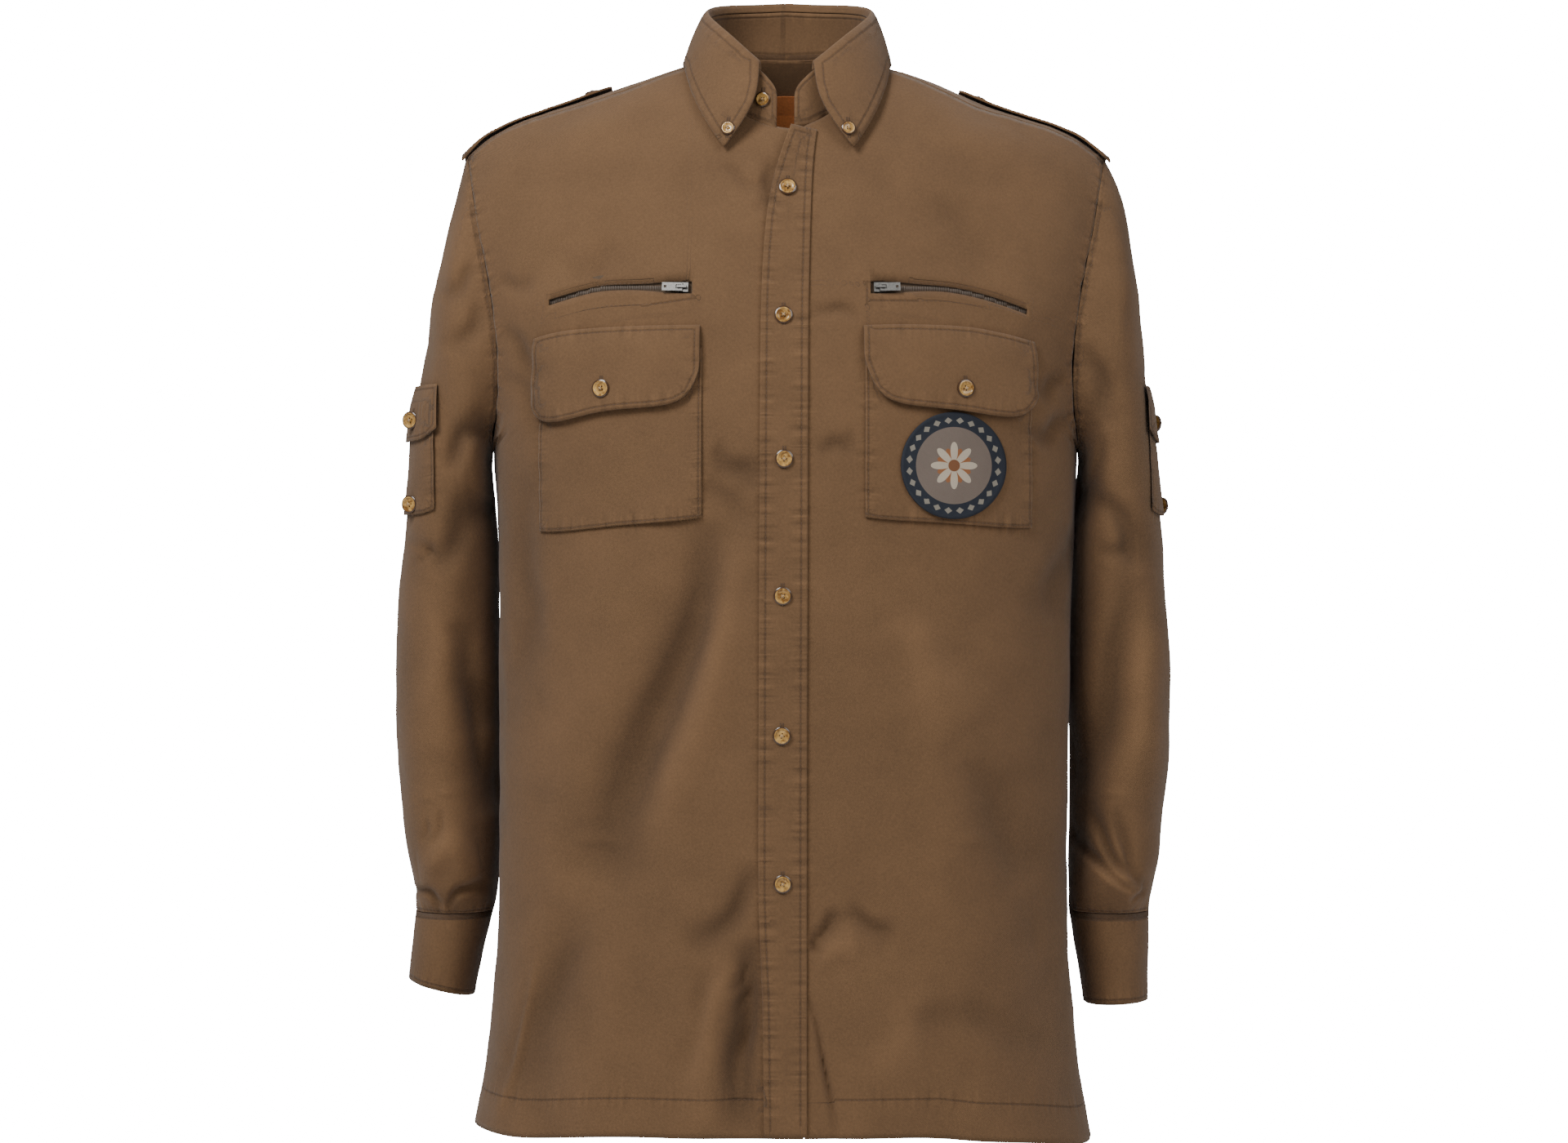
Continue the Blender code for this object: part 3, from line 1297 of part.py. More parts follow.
# Neck label: inside the yoke, just below the neck seam
LABEL_HALF = 0.0260
LABEL_TOP = -0.0030
LABEL_LOW = -0.0300
places = np.zeros((3, 7, 3))
ways = np.zeros_like(places)
for i in range(3):
    for j in range(7):
        places[i, j] = back_point(LABEL_HALF * (j / 3 - 1), LABEL_TOP + (LABEL_LOW - LABEL_TOP) * i / 2)
        ways[i, j] = unit(gradient(places[i, j]))
        places[i, j] = outermost((yoke_skin,), places[i, j], ways[i, j]) - ways[i, j] * (WALL + 0.0007)
wall("label", places, places - ways * 0.0010, "label")

# Round patch on the left chest pocket
PATCH_X = 0.1175
PATCH_Z = -0.2885
PATCH_RADIUS = 0.0378
PATCH_CELLS = 8
places = np.zeros((PATCH_CELLS + 1, PATCH_CELLS + 1, 3))
ways = np.zeros_like(places)
for i in range(PATCH_CELLS + 1):
    for j in range(PATCH_CELLS + 1):
        u = 2 * j / PATCH_CELLS - 1
        v = 2 * i / PATCH_CELLS - 1
        x = PATCH_X + PATCH_RADIUS * 0.985 * u * math.sqrt(1 - v * v / 2)
        z = PATCH_Z - PATCH_RADIUS * v * math.sqrt(1 - u * u / 2)
        places[i, j] = front_point(x, z)
        ways[i, j] = unit(gradient(places[i, j]))
lifts = [[0.0005] * (PATCH_CELLS + 1)] * (PATCH_CELLS + 1)
inner = lay((front_skins[1], pocket_skins[1]), places, ways, lifts)
patch_outer = inner + ways * 0.0014
wall("patch", patch_outer, inner, "patch")


def button(name, skins, place, way, radius, height):
    """A dished disc that sits just clear of what is under it."""
    way = unit(np.array(way, float))
    side = unit(np.cross(way, (0.0, 0.0, 1.0) if abs(way[2]) < 0.9 else (0.0, 1.0, 0.0)))
    other = np.cross(way, side)
    centre = outermost(skins, place, way, 0.02)
    lift = 0.0
    for ring_share in (0.5, 1.0):
        for k in range(12):
            a = math.tau * k / 12
            here = centre + (side * math.cos(a) + other * math.sin(a)) * radius * ring_share
            under = outermost(skins, here, way, 0.02)
            if under is not None:
                lift = max(lift, float((under - centre) @ way))
    seat = centre + way * (lift + 0.0003)
    profile = ((radius * 0.94, 0.0), (radius, height * 0.45), (radius * 0.94, height), (radius * 0.66, height * 0.68))
    segments = 12
    points = [seat]
    for reach, level in profile:
        for k in range(segments):
            a = math.tau * k / segments
            points.append(seat + way * level + (side * math.cos(a) + other * math.sin(a)) * reach)
    points.append(seat + way * height * 0.68)
    triangles = []
    for k in range(segments):
        after = (k + 1) % segments
        triangles.append((0, 1 + after, 1 + k))
        for n in range(len(profile) - 1):
            a = 1 + n * segments
            b = a + segments
            triangles.append((a + k, a + after, b + after))
            triangles.append((a + k, b + after, b + k))
        last = 1 + (len(profile) - 1) * segments
        triangles.append((last + k, last + after, len(points) - 1))
    add_piece(name, points, triangles, "button", smooth_degrees=40)


# Buttons
FRONT_BUTTONS = table(
    "x z",
    (0.0017, -0.0914),
    (-0.0011, -0.1830),
    (-0.0006, -0.2840),
    (-0.0017, -0.3800),
    (-0.0023, -0.4780),
    (-0.0017, -0.5820),
)
BUTTON_RADIUS = 0.0066
SMALL_BUTTON_RADIUS = 0.0056
BUTTON_HEIGHT = 0.0026
for n, row in enumerate(FRONT_BUTTONS):
    spot = front_point(row["x"], row["z"])
    button("button_front_" + str(n + 1), (placket_skin,), spot, gradient(spot), BUTTON_RADIUS, BUTTON_HEIGHT)

stand_way = unit(plan_way(-165) + np.array((0.0, 0.0, 0.05)))
spot = np.array((-0.0165, -0.0765, -0.0250))
button("button_stand", (stand_skin,), spot, stand_way, SMALL_BUTTON_RADIUS, 0.0022)

for s, x, z in ((-1, 0.0402, -0.0480), (1, 0.0445, -0.0480)):
    spot = np.array((s * x, -0.085, z))
    name = "button_collar_" + mirror_name(s)
    button(name, (fall_skin,), spot, (s * 0.18, -0.95, 0.25), 0.0052, 0.0022)

for s, x, z in ((-1, 0.1280, -0.2340), (1, 0.1253, -0.2340)):
    spot = front_point(s * x, z)
    button("button_flap_" + mirror_name(s), (flap_skins[s],), spot, gradient(spot), BUTTON_RADIUS, BUTTON_HEIGHT)

for s, angle in ((-1, 46), (1, -22)):
    a = math.radians(angle)
    out = unit(np.array((s * math.cos(a), -1.7 * math.sin(a), 0.0)))
    for part, z, skins in (
        ("sleeve_flap", -0.2530, (sleeve_flap_skins[s],)),
        ("sleeve_low", -0.3140, (sleeve_pocket_skins[s],)),
    ):
        axis = np.array((s * 0.2470, AXIS_Y, z))
        hit = skins[0].ray_cast(Vector(axis + out * 0.12), -Vector(out), 0.12)
        button("button_" + part + "_" + mirror_name(s), skins, np.array(hit[0]), out, BUTTON_RADIUS, BUTTON_HEIGHT)

for s in (-1, 1):
    spot = top_point(s * 0.1410, 0.004)
    out = (s * 0.22, 0.0, 0.97)
    name = "button_epaulette_" + mirror_name(s)
    button(name, (epaulette_skins[s],), spot, out, SMALL_BUTTON_RADIUS, 0.0022)
    size = CUFFS[s][0]
    turn = math.radians(270 + 376)
    out = unit(np.array((s * math.cos(turn) / size["half"], -math.sin(turn) / size["depth"], 0.0)))
    axis = np.array((s * size["x"], size["y"], -0.6400))
    hit = cuff_skins[s].ray_cast(Vector(axis + out * 0.12), -Vector(out), 0.12)
    button("button_cuff_" + mirror_name(s), (cuff_skins[s],), np.array(hit[0]), out, SMALL_BUTTON_RADIUS, 0.0022)
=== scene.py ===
import math

import bmesh
import bpy
import numpy as np
from mathutils import Matrix, Vector, kdtree, noise
from mathutils.bvhtree import BVHTree


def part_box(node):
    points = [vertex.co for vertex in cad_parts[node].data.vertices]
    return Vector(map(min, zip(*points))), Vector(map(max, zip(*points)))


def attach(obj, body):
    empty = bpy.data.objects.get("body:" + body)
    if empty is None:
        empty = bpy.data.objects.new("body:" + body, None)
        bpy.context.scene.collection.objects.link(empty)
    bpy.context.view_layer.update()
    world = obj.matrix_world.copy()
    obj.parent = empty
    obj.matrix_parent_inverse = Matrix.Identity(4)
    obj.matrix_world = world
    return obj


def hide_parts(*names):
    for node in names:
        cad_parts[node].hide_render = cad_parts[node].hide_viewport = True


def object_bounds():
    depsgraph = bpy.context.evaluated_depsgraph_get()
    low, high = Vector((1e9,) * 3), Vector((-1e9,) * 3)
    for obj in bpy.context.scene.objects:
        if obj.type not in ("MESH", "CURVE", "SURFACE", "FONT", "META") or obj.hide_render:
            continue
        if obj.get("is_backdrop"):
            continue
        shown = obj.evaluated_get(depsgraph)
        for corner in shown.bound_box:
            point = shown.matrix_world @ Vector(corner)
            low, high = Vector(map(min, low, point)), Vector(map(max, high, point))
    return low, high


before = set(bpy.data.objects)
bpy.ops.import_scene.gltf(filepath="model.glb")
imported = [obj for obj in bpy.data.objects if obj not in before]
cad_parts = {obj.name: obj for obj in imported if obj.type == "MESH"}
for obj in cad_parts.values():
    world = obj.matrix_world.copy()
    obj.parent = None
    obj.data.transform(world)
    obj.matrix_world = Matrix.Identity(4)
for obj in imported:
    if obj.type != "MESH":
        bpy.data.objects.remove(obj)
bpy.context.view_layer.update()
scene = bpy.context.scene


# Cloth pattern pieces
# The shirt is cut from washed cotton twill: fronts, back, yoke, sleeves, cuffs and collar are sewn
# edge to edge, and pockets, flaps, straps and placket are sewn flat on top of them.
SHARP = math.radians(52)
DISTANCE = 2.8
CAMERA = Vector((-0.0010, -DISTANCE, -0.363))
MIDDLE_X = 960
MIDDLE_Y = 700
# Metres for one point of the picture: on the shirt's middle plane, its front and its back
PIXEL = 0.0006
FRONT_PIXEL = 0.000575
BACK_PIXEL = 0.00061
STITCH_STEP = 0.0032
MERGE = 0.00002
HEM_SEAM = -0.752
POCKET_MOUTH = -0.2210


def table(names, *rows):
    """Rows of figures as dictionaries with the column names given."""
    return [dict(zip(names.split(), row)) for row in rows]


def smoothstep(low, high, x):
    t = np.clip((x - low) / (high - low), 0, 1)
    return t * t * (3 - 2 * t)


def seen(px, py, y):
    """The point at depth y that lies behind the picture's point (px, py)."""
    share = (DISTANCE + y) / DISTANCE
    x = CAMERA.x + (px - MIDDLE_X) * PIXEL * share
    return np.array((x, y, CAMERA.z + (MIDDLE_Y - py) * PIXEL * share))


def unit_rows(rows):
    return rows / np.maximum(np.linalg.norm(rows, axis=1, keepdims=True), 1e-9)


def corners_of(node):
    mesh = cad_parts[node].data
    co = np.zeros(len(mesh.vertices) * 3, np.float32)
    mesh.vertices.foreach_get("co", co)
    return co.reshape(-1, 3).astype(float)


# Each sleeve's middle line, fitted through its solid
sleeve_axis = {}
for side in ("right", "left"):
    co = corners_of("sleeve_" + side)
    cuff = corners_of("cuff_" + side)
    co = np.concatenate((co[co[:, 2] < -0.16], cuff))
    sleeve_axis[side] = (np.polyfit(co[:, 2], co[:, 0], 2), np.polyfit(co[:, 2], co[:, 1], 2))


def outward(points, kind):
    """The way out of the garment at each point, for its body, a sleeve or the collar."""
    x, y, z = points[:, 0], points[:, 1], points[:, 2]
    if kind == "collar":
        return unit_rows(np.stack((x, y * 1.1, np.full_like(x, 0.012)), 1))
    if kind == "body":
        rise = smoothstep(-0.11, -0.01, z) * 6.0
        return unit_rows(np.stack((x / 0.048, y / 0.0144, rise), 1))
    line_x, line_y = sleeve_axis[kind]
    fade = smoothstep(-0.06, -0.20, z)
    middle_x = np.polyval(line_x, np.minimum(z, -0.16))
    out = np.stack((x - middle_x, y - np.polyval(line_y, np.minimum(z, -0.16)), 0.03 * (1 - fade)), 1)
    return unit_rows(out)


CLOTH = table(
    "node kind level",
    ("front_right", "body", 3),
    ("front_left", "body", 3),
    ("back", "body", 3),
    ("yoke", "body", 2),
    ("placket", "body", 3),
    ("chest_pocket_right", "body", 3),
    ("chest_pocket_left", "body", 3),
    ("pocket_flap_right", "body", 2),
    ("pocket_flap_left", "body", 2),
    ("epaulette_right", "body", 2),
    ("epaulette_left", "body", 2),
    ("sleeve_right", "right", 3),
    ("sleeve_left", "left", 3),
    ("cuff_right", "right", 2),
    ("cuff_left", "left", 2),
    ("sleeve_pocket_right", "right", 2),
    ("sleeve_pocket_left", "left", 2),
    ("sleeve_flap_right", "right", 2),
    ("sleeve_flap_left", "left", 2),
    ("collar_stand", "collar", 2),
    ("collar_fall", "collar", 2),
)


def cad_mesh(node):
    """A copy of a CAD node's mesh with its corners merged."""
    bm = bmesh.new()
    bm.from_mesh(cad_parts[node].data)
    bmesh.ops.remove_doubles(bm, verts=bm.verts, dist=MERGE)
    return bm


def outer_faces(bm, kind):
    """The faces of the side that faces out: the skin is bounded by its sharp rim."""
    left = set(bm.faces)
    skins = []
    while left:
        start = left.pop()
        group = [start]
        todo = [start]
        while todo:
            face = todo.pop()
            for edge in face.edges:
                if len(edge.link_faces) == 2 and edge.calc_face_angle() < SHARP:
                    for other in edge.link_faces:
                        if other in left:
                            left.remove(other)
                            group.append(other)
                            todo.append(other)
        skins.append((sum(f.calc_area() for f in group), group))
    skins.sort(key=lambda s: -s[0])

    def facing(group):
        middles = np.array([f.calc_center_median() for f in group])
        ways = outward(middles, kind)
        normals = np.array([f.normal for f in group])
        areas = np.array([f.calc_area() for f in group])
        return float(((ways * normals).sum(1) * areas).sum())

    return set(max((s[1] for s in skins[:2]), key=facing))


def sewn_rows(node, kind, inset, keep, step=STITCH_STEP):
    """Points of the sewing rows that run along a piece's edges, inset from them."""
    bm = cad_mesh(node)
    skin = outer_faces(bm, kind)
    border = []
    for edge in bm.edges:
        inside = [f for f in edge.link_faces if f in skin]
        if len(inside) == 1:
            border.append((edge, inside[0]))
    by_corner = {}
    for edge, face in border:
        for v in edge.verts:
            by_corner.setdefault(v, []).append((edge, face))
    samples = []
    runs = []
    used = set()
    for first, _ in border:
        if first in used:
            continue
        run = []
        v = first.verts[0]
        edge = first
        while edge is not None and edge not in used:
            used.add(edge)
            face = next(f for e, f in by_corner[v] if e is edge)
            far = edge.other_vert(v)
            along = (far.co - v.co).normalized()
            inward = face.normal.cross(along)
            if inward.dot(face.calc_center_median() - v.co) < 0:
                inward = -inward
            run.append((v.co.copy(), far.co.copy(), inward, face.normal.copy()))
            samples += [v.co.lerp(far.co, k / 4) for k in range(4)]
            v = far
            edge = next((e for e, f in by_corner[v] if e not in used), None)
        runs.append(run)
    bm.free()
    tree = kdtree.KDTree(len(samples))
    for k, p in enumerate(samples):
        tree.insert(p, k)
    tree.balance()
    rows = []
    for run in runs:
        row = []
        ahead = 0.0
        for a, b, inward, normal in run:
            length = (b - a).length
            while ahead < length:
                edge_point = a.lerp(b, ahead / length)
                p = edge_point + inward * inset
                near = tree.find(p)[2]
                if keep(edge_point) and near > inset * 0.80 - 0.0002:
                    row.append((p, normal, inward))
                elif row:
                    rows.append(row)
                    row = []
                ahead += step
            ahead -= length
        rows.append(row)
    return [r for r in rows if len(r) > 3]


def anywhere(p):
    return True


def hem(p):
    return p.z < HEM_SEAM


def above_hem(p):
    return p.z > HEM_SEAM


def off_top(p):
    return p.z < POCKET_MOUTH


SEWING = table(
    "node kind inset keep pucker",
    ("front_right", "body", 0.0270, hem, 0.5),
    ("front_left", "body", 0.0270, hem, 0.5),
    ("back", "body", 0.0270, hem, 0.5),
    ("yoke", "body", 0.0020, anywhere, 0.5),
    ("placket", "body", 0.0045, above_hem, 1.0),
    ("chest_pocket_right", "body", 0.0020, off_top, 0.8),
    ("chest_pocket_left", "body", 0.0020, off_top, 0.8),
    ("pocket_flap_right", "body", 0.0035, anywhere, 0.6),
    ("pocket_flap_left", "body", 0.0035, anywhere, 0.6),
    ("epaulette_right", "body", 0.0030, anywhere, 0.4),
    ("epaulette_left", "body", 0.0030, anywhere, 0.4),
    ("sleeve_right", "right", 0.0022, anywhere, 1.0),
    ("sleeve_left", "left", 0.0022, anywhere, 1.0),
    ("cuff_right", "right", 0.0035, anywhere, 0.5),
    ("cuff_left", "left", 0.0035, anywhere, 0.5),
    ("sleeve_pocket_right", "right", 0.0020, anywhere, 0.7),
    ("sleeve_pocket_left", "left", 0.0020, anywhere, 0.7),
    ("sleeve_flap_right", "right", 0.0032, anywhere, 0.6),
    ("sleeve_flap_left", "left", 0.0032, anywhere, 0.6),
    ("collar_stand", "collar", 0.0030, anywhere, 0.4),
    ("collar_fall", "collar", 0.0060, anywhere, 0.4),
)
sewing = {}
for row in SEWING:
    sewing[row["node"]] = sewn_rows(row["node"], row["kind"], row["inset"], row["keep"])

# The stitched frame round each zip, as it lies on the front, in the picture's points
ZIP_FRAMES = {
    "right": ((661, 383), (661, 366), (700, 352), (750, 346), (846, 345), (846, 366), (800, 372),
              (745, 373), (705, 379), (661, 386)),
    "left": ((1062, 345), (1160, 346), (1215, 352), (1268, 368), (1268, 388), (1215, 374), (1160, 368),
             (1062, 368), (1062, 345)),
}
framed = []
for side, line in ZIP_FRAMES.items():
    row = []
    for a, b in zip(line, line[1:]):
        steps = max(1, round(math.dist(a, b) * FRONT_PIXEL / STITCH_STEP))
        for k in range(steps):
            px = a[0] + (b[0] - a[0]) * k / steps
            py = a[1] + (b[1] - a[1]) * k / steps
            turned = Vector((b[1] - a[1], 0, b[0] - a[0])).normalized()
            if side == "right":
                turned.negate()
            row.append((Vector(seen(px, py, -0.120)), Vector((0, -1, 0)), turned))
    sewing["front_" + side].append(row)
    framed.append(row)

# Where cloth is sewn it draws up in small ripples that cross the row and fade at its ends
row_tree = kdtree.KDTree(sum(len(r) for rows in sewing.values() for r in rows))
row_along = []
row_pull = []
own_tree = {}
strength = {row["node"]: row["pucker"] for row in SEWING}
inset_of = {row["node"]: row["inset"] for row in SEWING}
for node, rows in sewing.items():
    own = kdtree.KDTree(sum(len(r) for r in rows))
    own_rows = []
    for row in rows:
        travelled = len(row_along) * 0.013
        zip_row = any(row is other for other in framed)
        for k, (p, normal, inward) in enumerate(row):
            if k:
                travelled += (p - row[k - 1][0]).length
            row_tree.insert(p, len(row_along))
            row_along.append(travelled)
            row_pull.append(strength[node] * min(1.0, (min(k, len(row) - 1 - k) + 0.5) / 4))
            own.insert(p, len(own_rows))
            own_rows.append((p, inward, not zip_row))
    own.balance()
    own_tree[node] = (own, own_rows)
row_tree.balance()

# Creases in the picture's points: bow bends a crease sideways, width and rise are in millimetres,
# and shut narrows one side of it, as where cloth is folded over
FRONT_CREASES = table(
    "x1 y1 x2 y2 bow width rise shut",
    (876, 640, 716, 1085, 18, 15, -3.3, 1.0),
    (905, 660, 780, 1060, 18, 13, 1.7, 1.0),
    (925, 1150, 903, 1388, -6, 9, -3.2, 1.0),
    (890, 1170, 868, 1385, -8, 11, 1.8, 1.0),
    (930, 1062, 842, 1168, 10, 8, -1.9, 1.0),
    (917, 1178, 893, 1214, 3, 3.0, -1.1, 0.6),
    (927, 1206, 896, 1243, -3, 2.6, -1.0, 0.6),
    (921, 1250, 903, 1290, 3, 3.2, -1.0, 1.0),
    (866, 1180, 838, 1312, 6, 7, -1.0, 1.0),
    (640, 1036, 776, 1030, 2, 1.6, 0.5, 1.0),
    (651, 1180, 600, 1382, 8, 3.0, 0.9, 0.5),
    (700, 1110, 610, 1372, 10, 14, -1.4, 1.0),
    (872, 551, 934, 590, -6, 8, -1.7, 1.0),
    (868, 585, 926, 640, -6, 7, -1.0, 1.0),
    (606, 395, 655, 476, 8, 6, -1.1, 1.0),
    (612, 452, 668, 536, 8, 6, -0.9, 1.0),
    (600, 340, 650, 352, 3, 5, -0.8, 1.0),
    (640, 560, 622, 900, 8, 12, -1.4, 1.0),
    (996, 1165, 1034, 1117, 8, 5.5, -1.6, 0.6),
    (1034, 1117, 1096, 1156, 6, 6.5, -1.7, 0.7),
    (1000, 1172, 1052, 1150, -3, 7, 1.2, 1.0),
    (990, 1222, 1023, 1394, 5, 2.2, -1.4, 0.4),
    (991, 1150, 1006, 1168, 0, 2.6, -0.8, 1.0),
    (1184, 930, 1254, 1095, 8, 14, -1.0, 1.0),
    (1140, 1024, 1229, 1037, 3, 1.6, 0.5, 1.0),
    (1090, 760, 1180, 900, 10, 15, 1.1, 1.0),
    (1100, 1240, 1290, 1290, 12, 12, -0.9, 1.0),
    (1130, 1200, 1060, 1330, 14, 13, 1.0, 1.0),
    (992, 381, 1056, 385, 3, 4.0, -1.1, 1.0),
    (1000, 552, 1050, 538, -3, 6, -1.1, 1.0),
    (1311, 452, 1272, 478, 4, 5.5, -1.5, 1.0),
    (1318, 500, 1268, 536, 5, 6, -1.6, 1.0),
    (1322, 640, 1280, 760, 6, 10, -1.3, 1.0),
    (940, 188, 938, 262, 2, 5, -1.3, 1.0),
    (882, 196, 926, 236, 3, 4, -0.8, 1.0),
    (760, 300, 690, 336, 8, 12, -0.8, 1.0),
    (1120, 250, 1230, 320, 10, 16, -0.8, 1.0),
)
SLEEVE_CREASES = table(
    "x1 y1 x2 y2 bow width rise shut",
    (500, 981, 586, 962, 4, 1.8, 0.7, 0.6),
    (546, 986, 536, 1032, 3, 2.4, -0.7, 1.0),
    (528, 1000, 520, 1026, 3, 2.4, -0.6, 1.0),
    (503, 1088, 548, 1108, 9, 4.5, -1.6, 0.5),
    (548, 1108, 598, 1076, 8, 4.5, -1.8, 0.5),
    (515, 1060, 590, 1052, 14, 12, 1.8, 1.0),
    (498, 658, 548, 690, 6, 3.0, -1.1, 0.7),
    (506, 690, 542, 664, -4, 2.6, -0.8, 1.0),
    (553, 578, 608, 512, 6, 8, -2.0, 1.0),
    (545, 708, 601, 606, 8, 10, -2.0, 1.0),
    (556, 760, 585, 900, 8, 9, -1.6, 1.0),
    (530, 720, 538, 930, 10, 12, 1.2, 1.0),
    (575, 830, 600, 1000, 4, 7, -1.6, 1.0),
    (590, 330, 548, 372, 5, 6, -1.2, 1.0),
    (598, 380, 560, 440, 6, 7, -1.3, 1.0),
    (560, 250, 520, 420, 8, 14, 0.8, 1.0),
    (1320, 425, 1346, 530, 6, 8, -1.7, 1.0),
    (1326, 590, 1392, 700, 8, 8, -2.0, 1.0),
    (1336, 680, 1388, 676, 4, 5, -1.0, 1.0),
    (1374, 700, 1318, 980, 10, 11, -2.0, 1.0),
    (1400, 760, 1372, 960, 10, 12, 1.3, 1.0),
    (1392, 1088, 1311, 1012, 12, 5, -2.2, 0.5),
    (1396, 1086, 1330, 976, 12, 5, -2.0, 0.6),
    (1398, 1084, 1362, 984, 8, 5, -1.6, 0.7),
    (1330, 1060, 1392, 1102, 10, 8, 1.8, 1.0),
    (1378, 1102, 1402, 1078, -3, 2.8, -1.2, 0.6),
    (1302, 964, 1384, 971, 4, 1.8, 0.6, 0.6),
    (1340, 520, 1322, 640, 4, 6, -1.4, 1.0),
    (1370, 330, 1400, 460, 8, 14, 0.8, 1.0),
)
# The back hangs in long soft folds from the shoulder blades, seen in the same points from the front
BACK_CREASES = table(
    "x1 y1 x2 y2 bow width rise shut",
    (760, 420, 700, 900, 14, 14, -1.8, 1.0),
    (840, 380, 830, 820, -12, 16, 1.4, 1.0),
    (1010, 400, 1040, 900, 16, 15, -1.8, 1.0),
    (1160, 450, 1220, 940, -14, 14, -1.6, 1.0),
    (1240, 520, 1290, 900, 8, 12, 1.2, 1.0),
    (660, 640, 640, 1080, 8, 12, -1.2, 1.0),
    (900, 900, 780, 1360, 14, 16, -1.6, 1.0),
    (1060, 960, 1150, 1370, 12, 15, 1.4, 1.0),
    (640, 1034, 800, 1028, 2, 1.6, 0.5, 1.0),
    (1130, 1028, 1280, 1038, 2, 1.6, 0.5, 1.0),
    (520, 700, 580, 980, 8, 10, -1.8, 1.0),
    (1400, 690, 1340, 980, 8, 10, -1.8, 1.0),
    (505, 962, 590, 978, 4, 2.2, 0.8, 0.6),
    (1320, 974, 1410, 962, 4, 2.2, 0.8, 0.6),
    (512, 1084, 590, 1096, 10, 6, -1.8, 0.6),
    (1320, 1092, 1400, 1082, 10, 6, -1.8, 0.6),
    (590, 380, 540, 480, 6, 7, -1.3, 1.0),
    (1330, 390, 1380, 500, 6, 7, -1.3, 1.0),
)


CREASE_STRENGTH = 3.3


def crease_rise(places, creases, scale):
    """Height of a set of creases at places given as x and z, in metres."""
    rise = np.zeros(len(places))
    for c in creases:
        a = np.array((CAMERA.x + (c["x1"] - MIDDLE_X) * scale, CAMERA.z + (MIDDLE_Y - c["y1"]) * scale))
        b = np.array((CAMERA.x + (c["x2"] - MIDDLE_X) * scale, CAMERA.z + (MIDDLE_Y - c["y2"]) * scale))
        length = np.linalg.norm(b - a)
        along = (b - a) / length
        across = np.array((-along[1], along[0]))
        width = c["width"] / 1000
        near = np.abs((places - (a + b) / 2) @ across) < width * 3 + abs(c["bow"]) * scale
        near &= np.abs((places - (a + b) / 2) @ along) < length * 0.5
        here = places[near] - a
        t = np.clip(here @ along / length, 0, 1)
        off = here @ across - c["bow"] * scale * 4 * t * (1 - t) + width * 0.25 * np.sin(t * 9 + c["x1"])
        reach = np.where(off > 0, width * c["shut"], width)
        ends = np.sin(np.pi * t) ** 0.7
        soft = np.exp(-((off / reach) ** 2) * (0.8 + 0.4 * np.sin(t * 5)))
        rise[near] += CREASE_STRENGTH * c["rise"] / 1000 * ends * soft
    return rise


def still(points):
    """1 where the cloth may be moved and 0 next to the zips, whose sliders are fixed."""
    keep = np.ones(len(points))
    for node in ("zip_slider_right", "zip_slider_left"):
        low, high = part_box(node)
        middle = np.array((low + high) / 2)
        keep *= smoothstep(0.012, 0.030, np.linalg.norm(points - middle, axis=1))
    return keep


def relief(points, ways, kind):
    """How far each point of the cloth is moved out, in metres."""
    front = smoothstep(0.05, 0.45, -ways[:, 1])
    rear = smoothstep(0.05, 0.45, ways[:, 1])
    flat = points[:, (0, 2)]
    if kind == "collar":
        move = np.zeros(len(points))
    elif kind == "body":
        low = smoothstep(-0.05, -0.11, points[:, 2])
        move = front * crease_rise(flat, FRONT_CREASES, FRONT_PIXEL)
        move += rear * low * crease_rise(flat, BACK_CREASES, BACK_PIXEL)
    else:
        move = front * crease_rise(flat, SLEEVE_CREASES, PIXEL)
        move += rear * crease_rise(flat, BACK_CREASES, PIXEL)
    waves = np.array([noise.noise(Vector(p) * 22) * 0.0011 + noise.noise(Vector(p) * 60) * 0.0004
                      for p in points])
    calm = {"collar": 0.3, "body": 1.0}.get(kind, 1.0)
    return (move + waves * calm) * still(points)


def cloth_uv(points, kind):
    """Flat places in metres, so that the weave keeps its real size."""
    x, y, z = points[:, 0], points[:, 1], points[:, 2]
    if kind == "collar":
        return np.stack((np.arctan2(x, -y) * 0.075, z), 1)
    if kind == "body":
        top = smoothstep(-0.10, -0.05, z)
        return np.stack((x, z * (1 - top) + (y - 0.1) * top), 1)
    line_x, line_y = sleeve_axis[kind]
    turn = np.arctan2(y - np.polyval(line_y, z), x - np.polyval(line_x, z))
    return np.stack((np.abs(turn) * 0.048, z), 1)


def add_object(name, mesh):
    piece = bpy.data.objects.new(name, mesh)
    scene.collection.objects.link(piece)
    return piece


neck_edges = [
    BVHTree.FromObject(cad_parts[node], bpy.context.evaluated_depsgraph_get())
    for node in ("front_right", "front_left", "yoke")
]


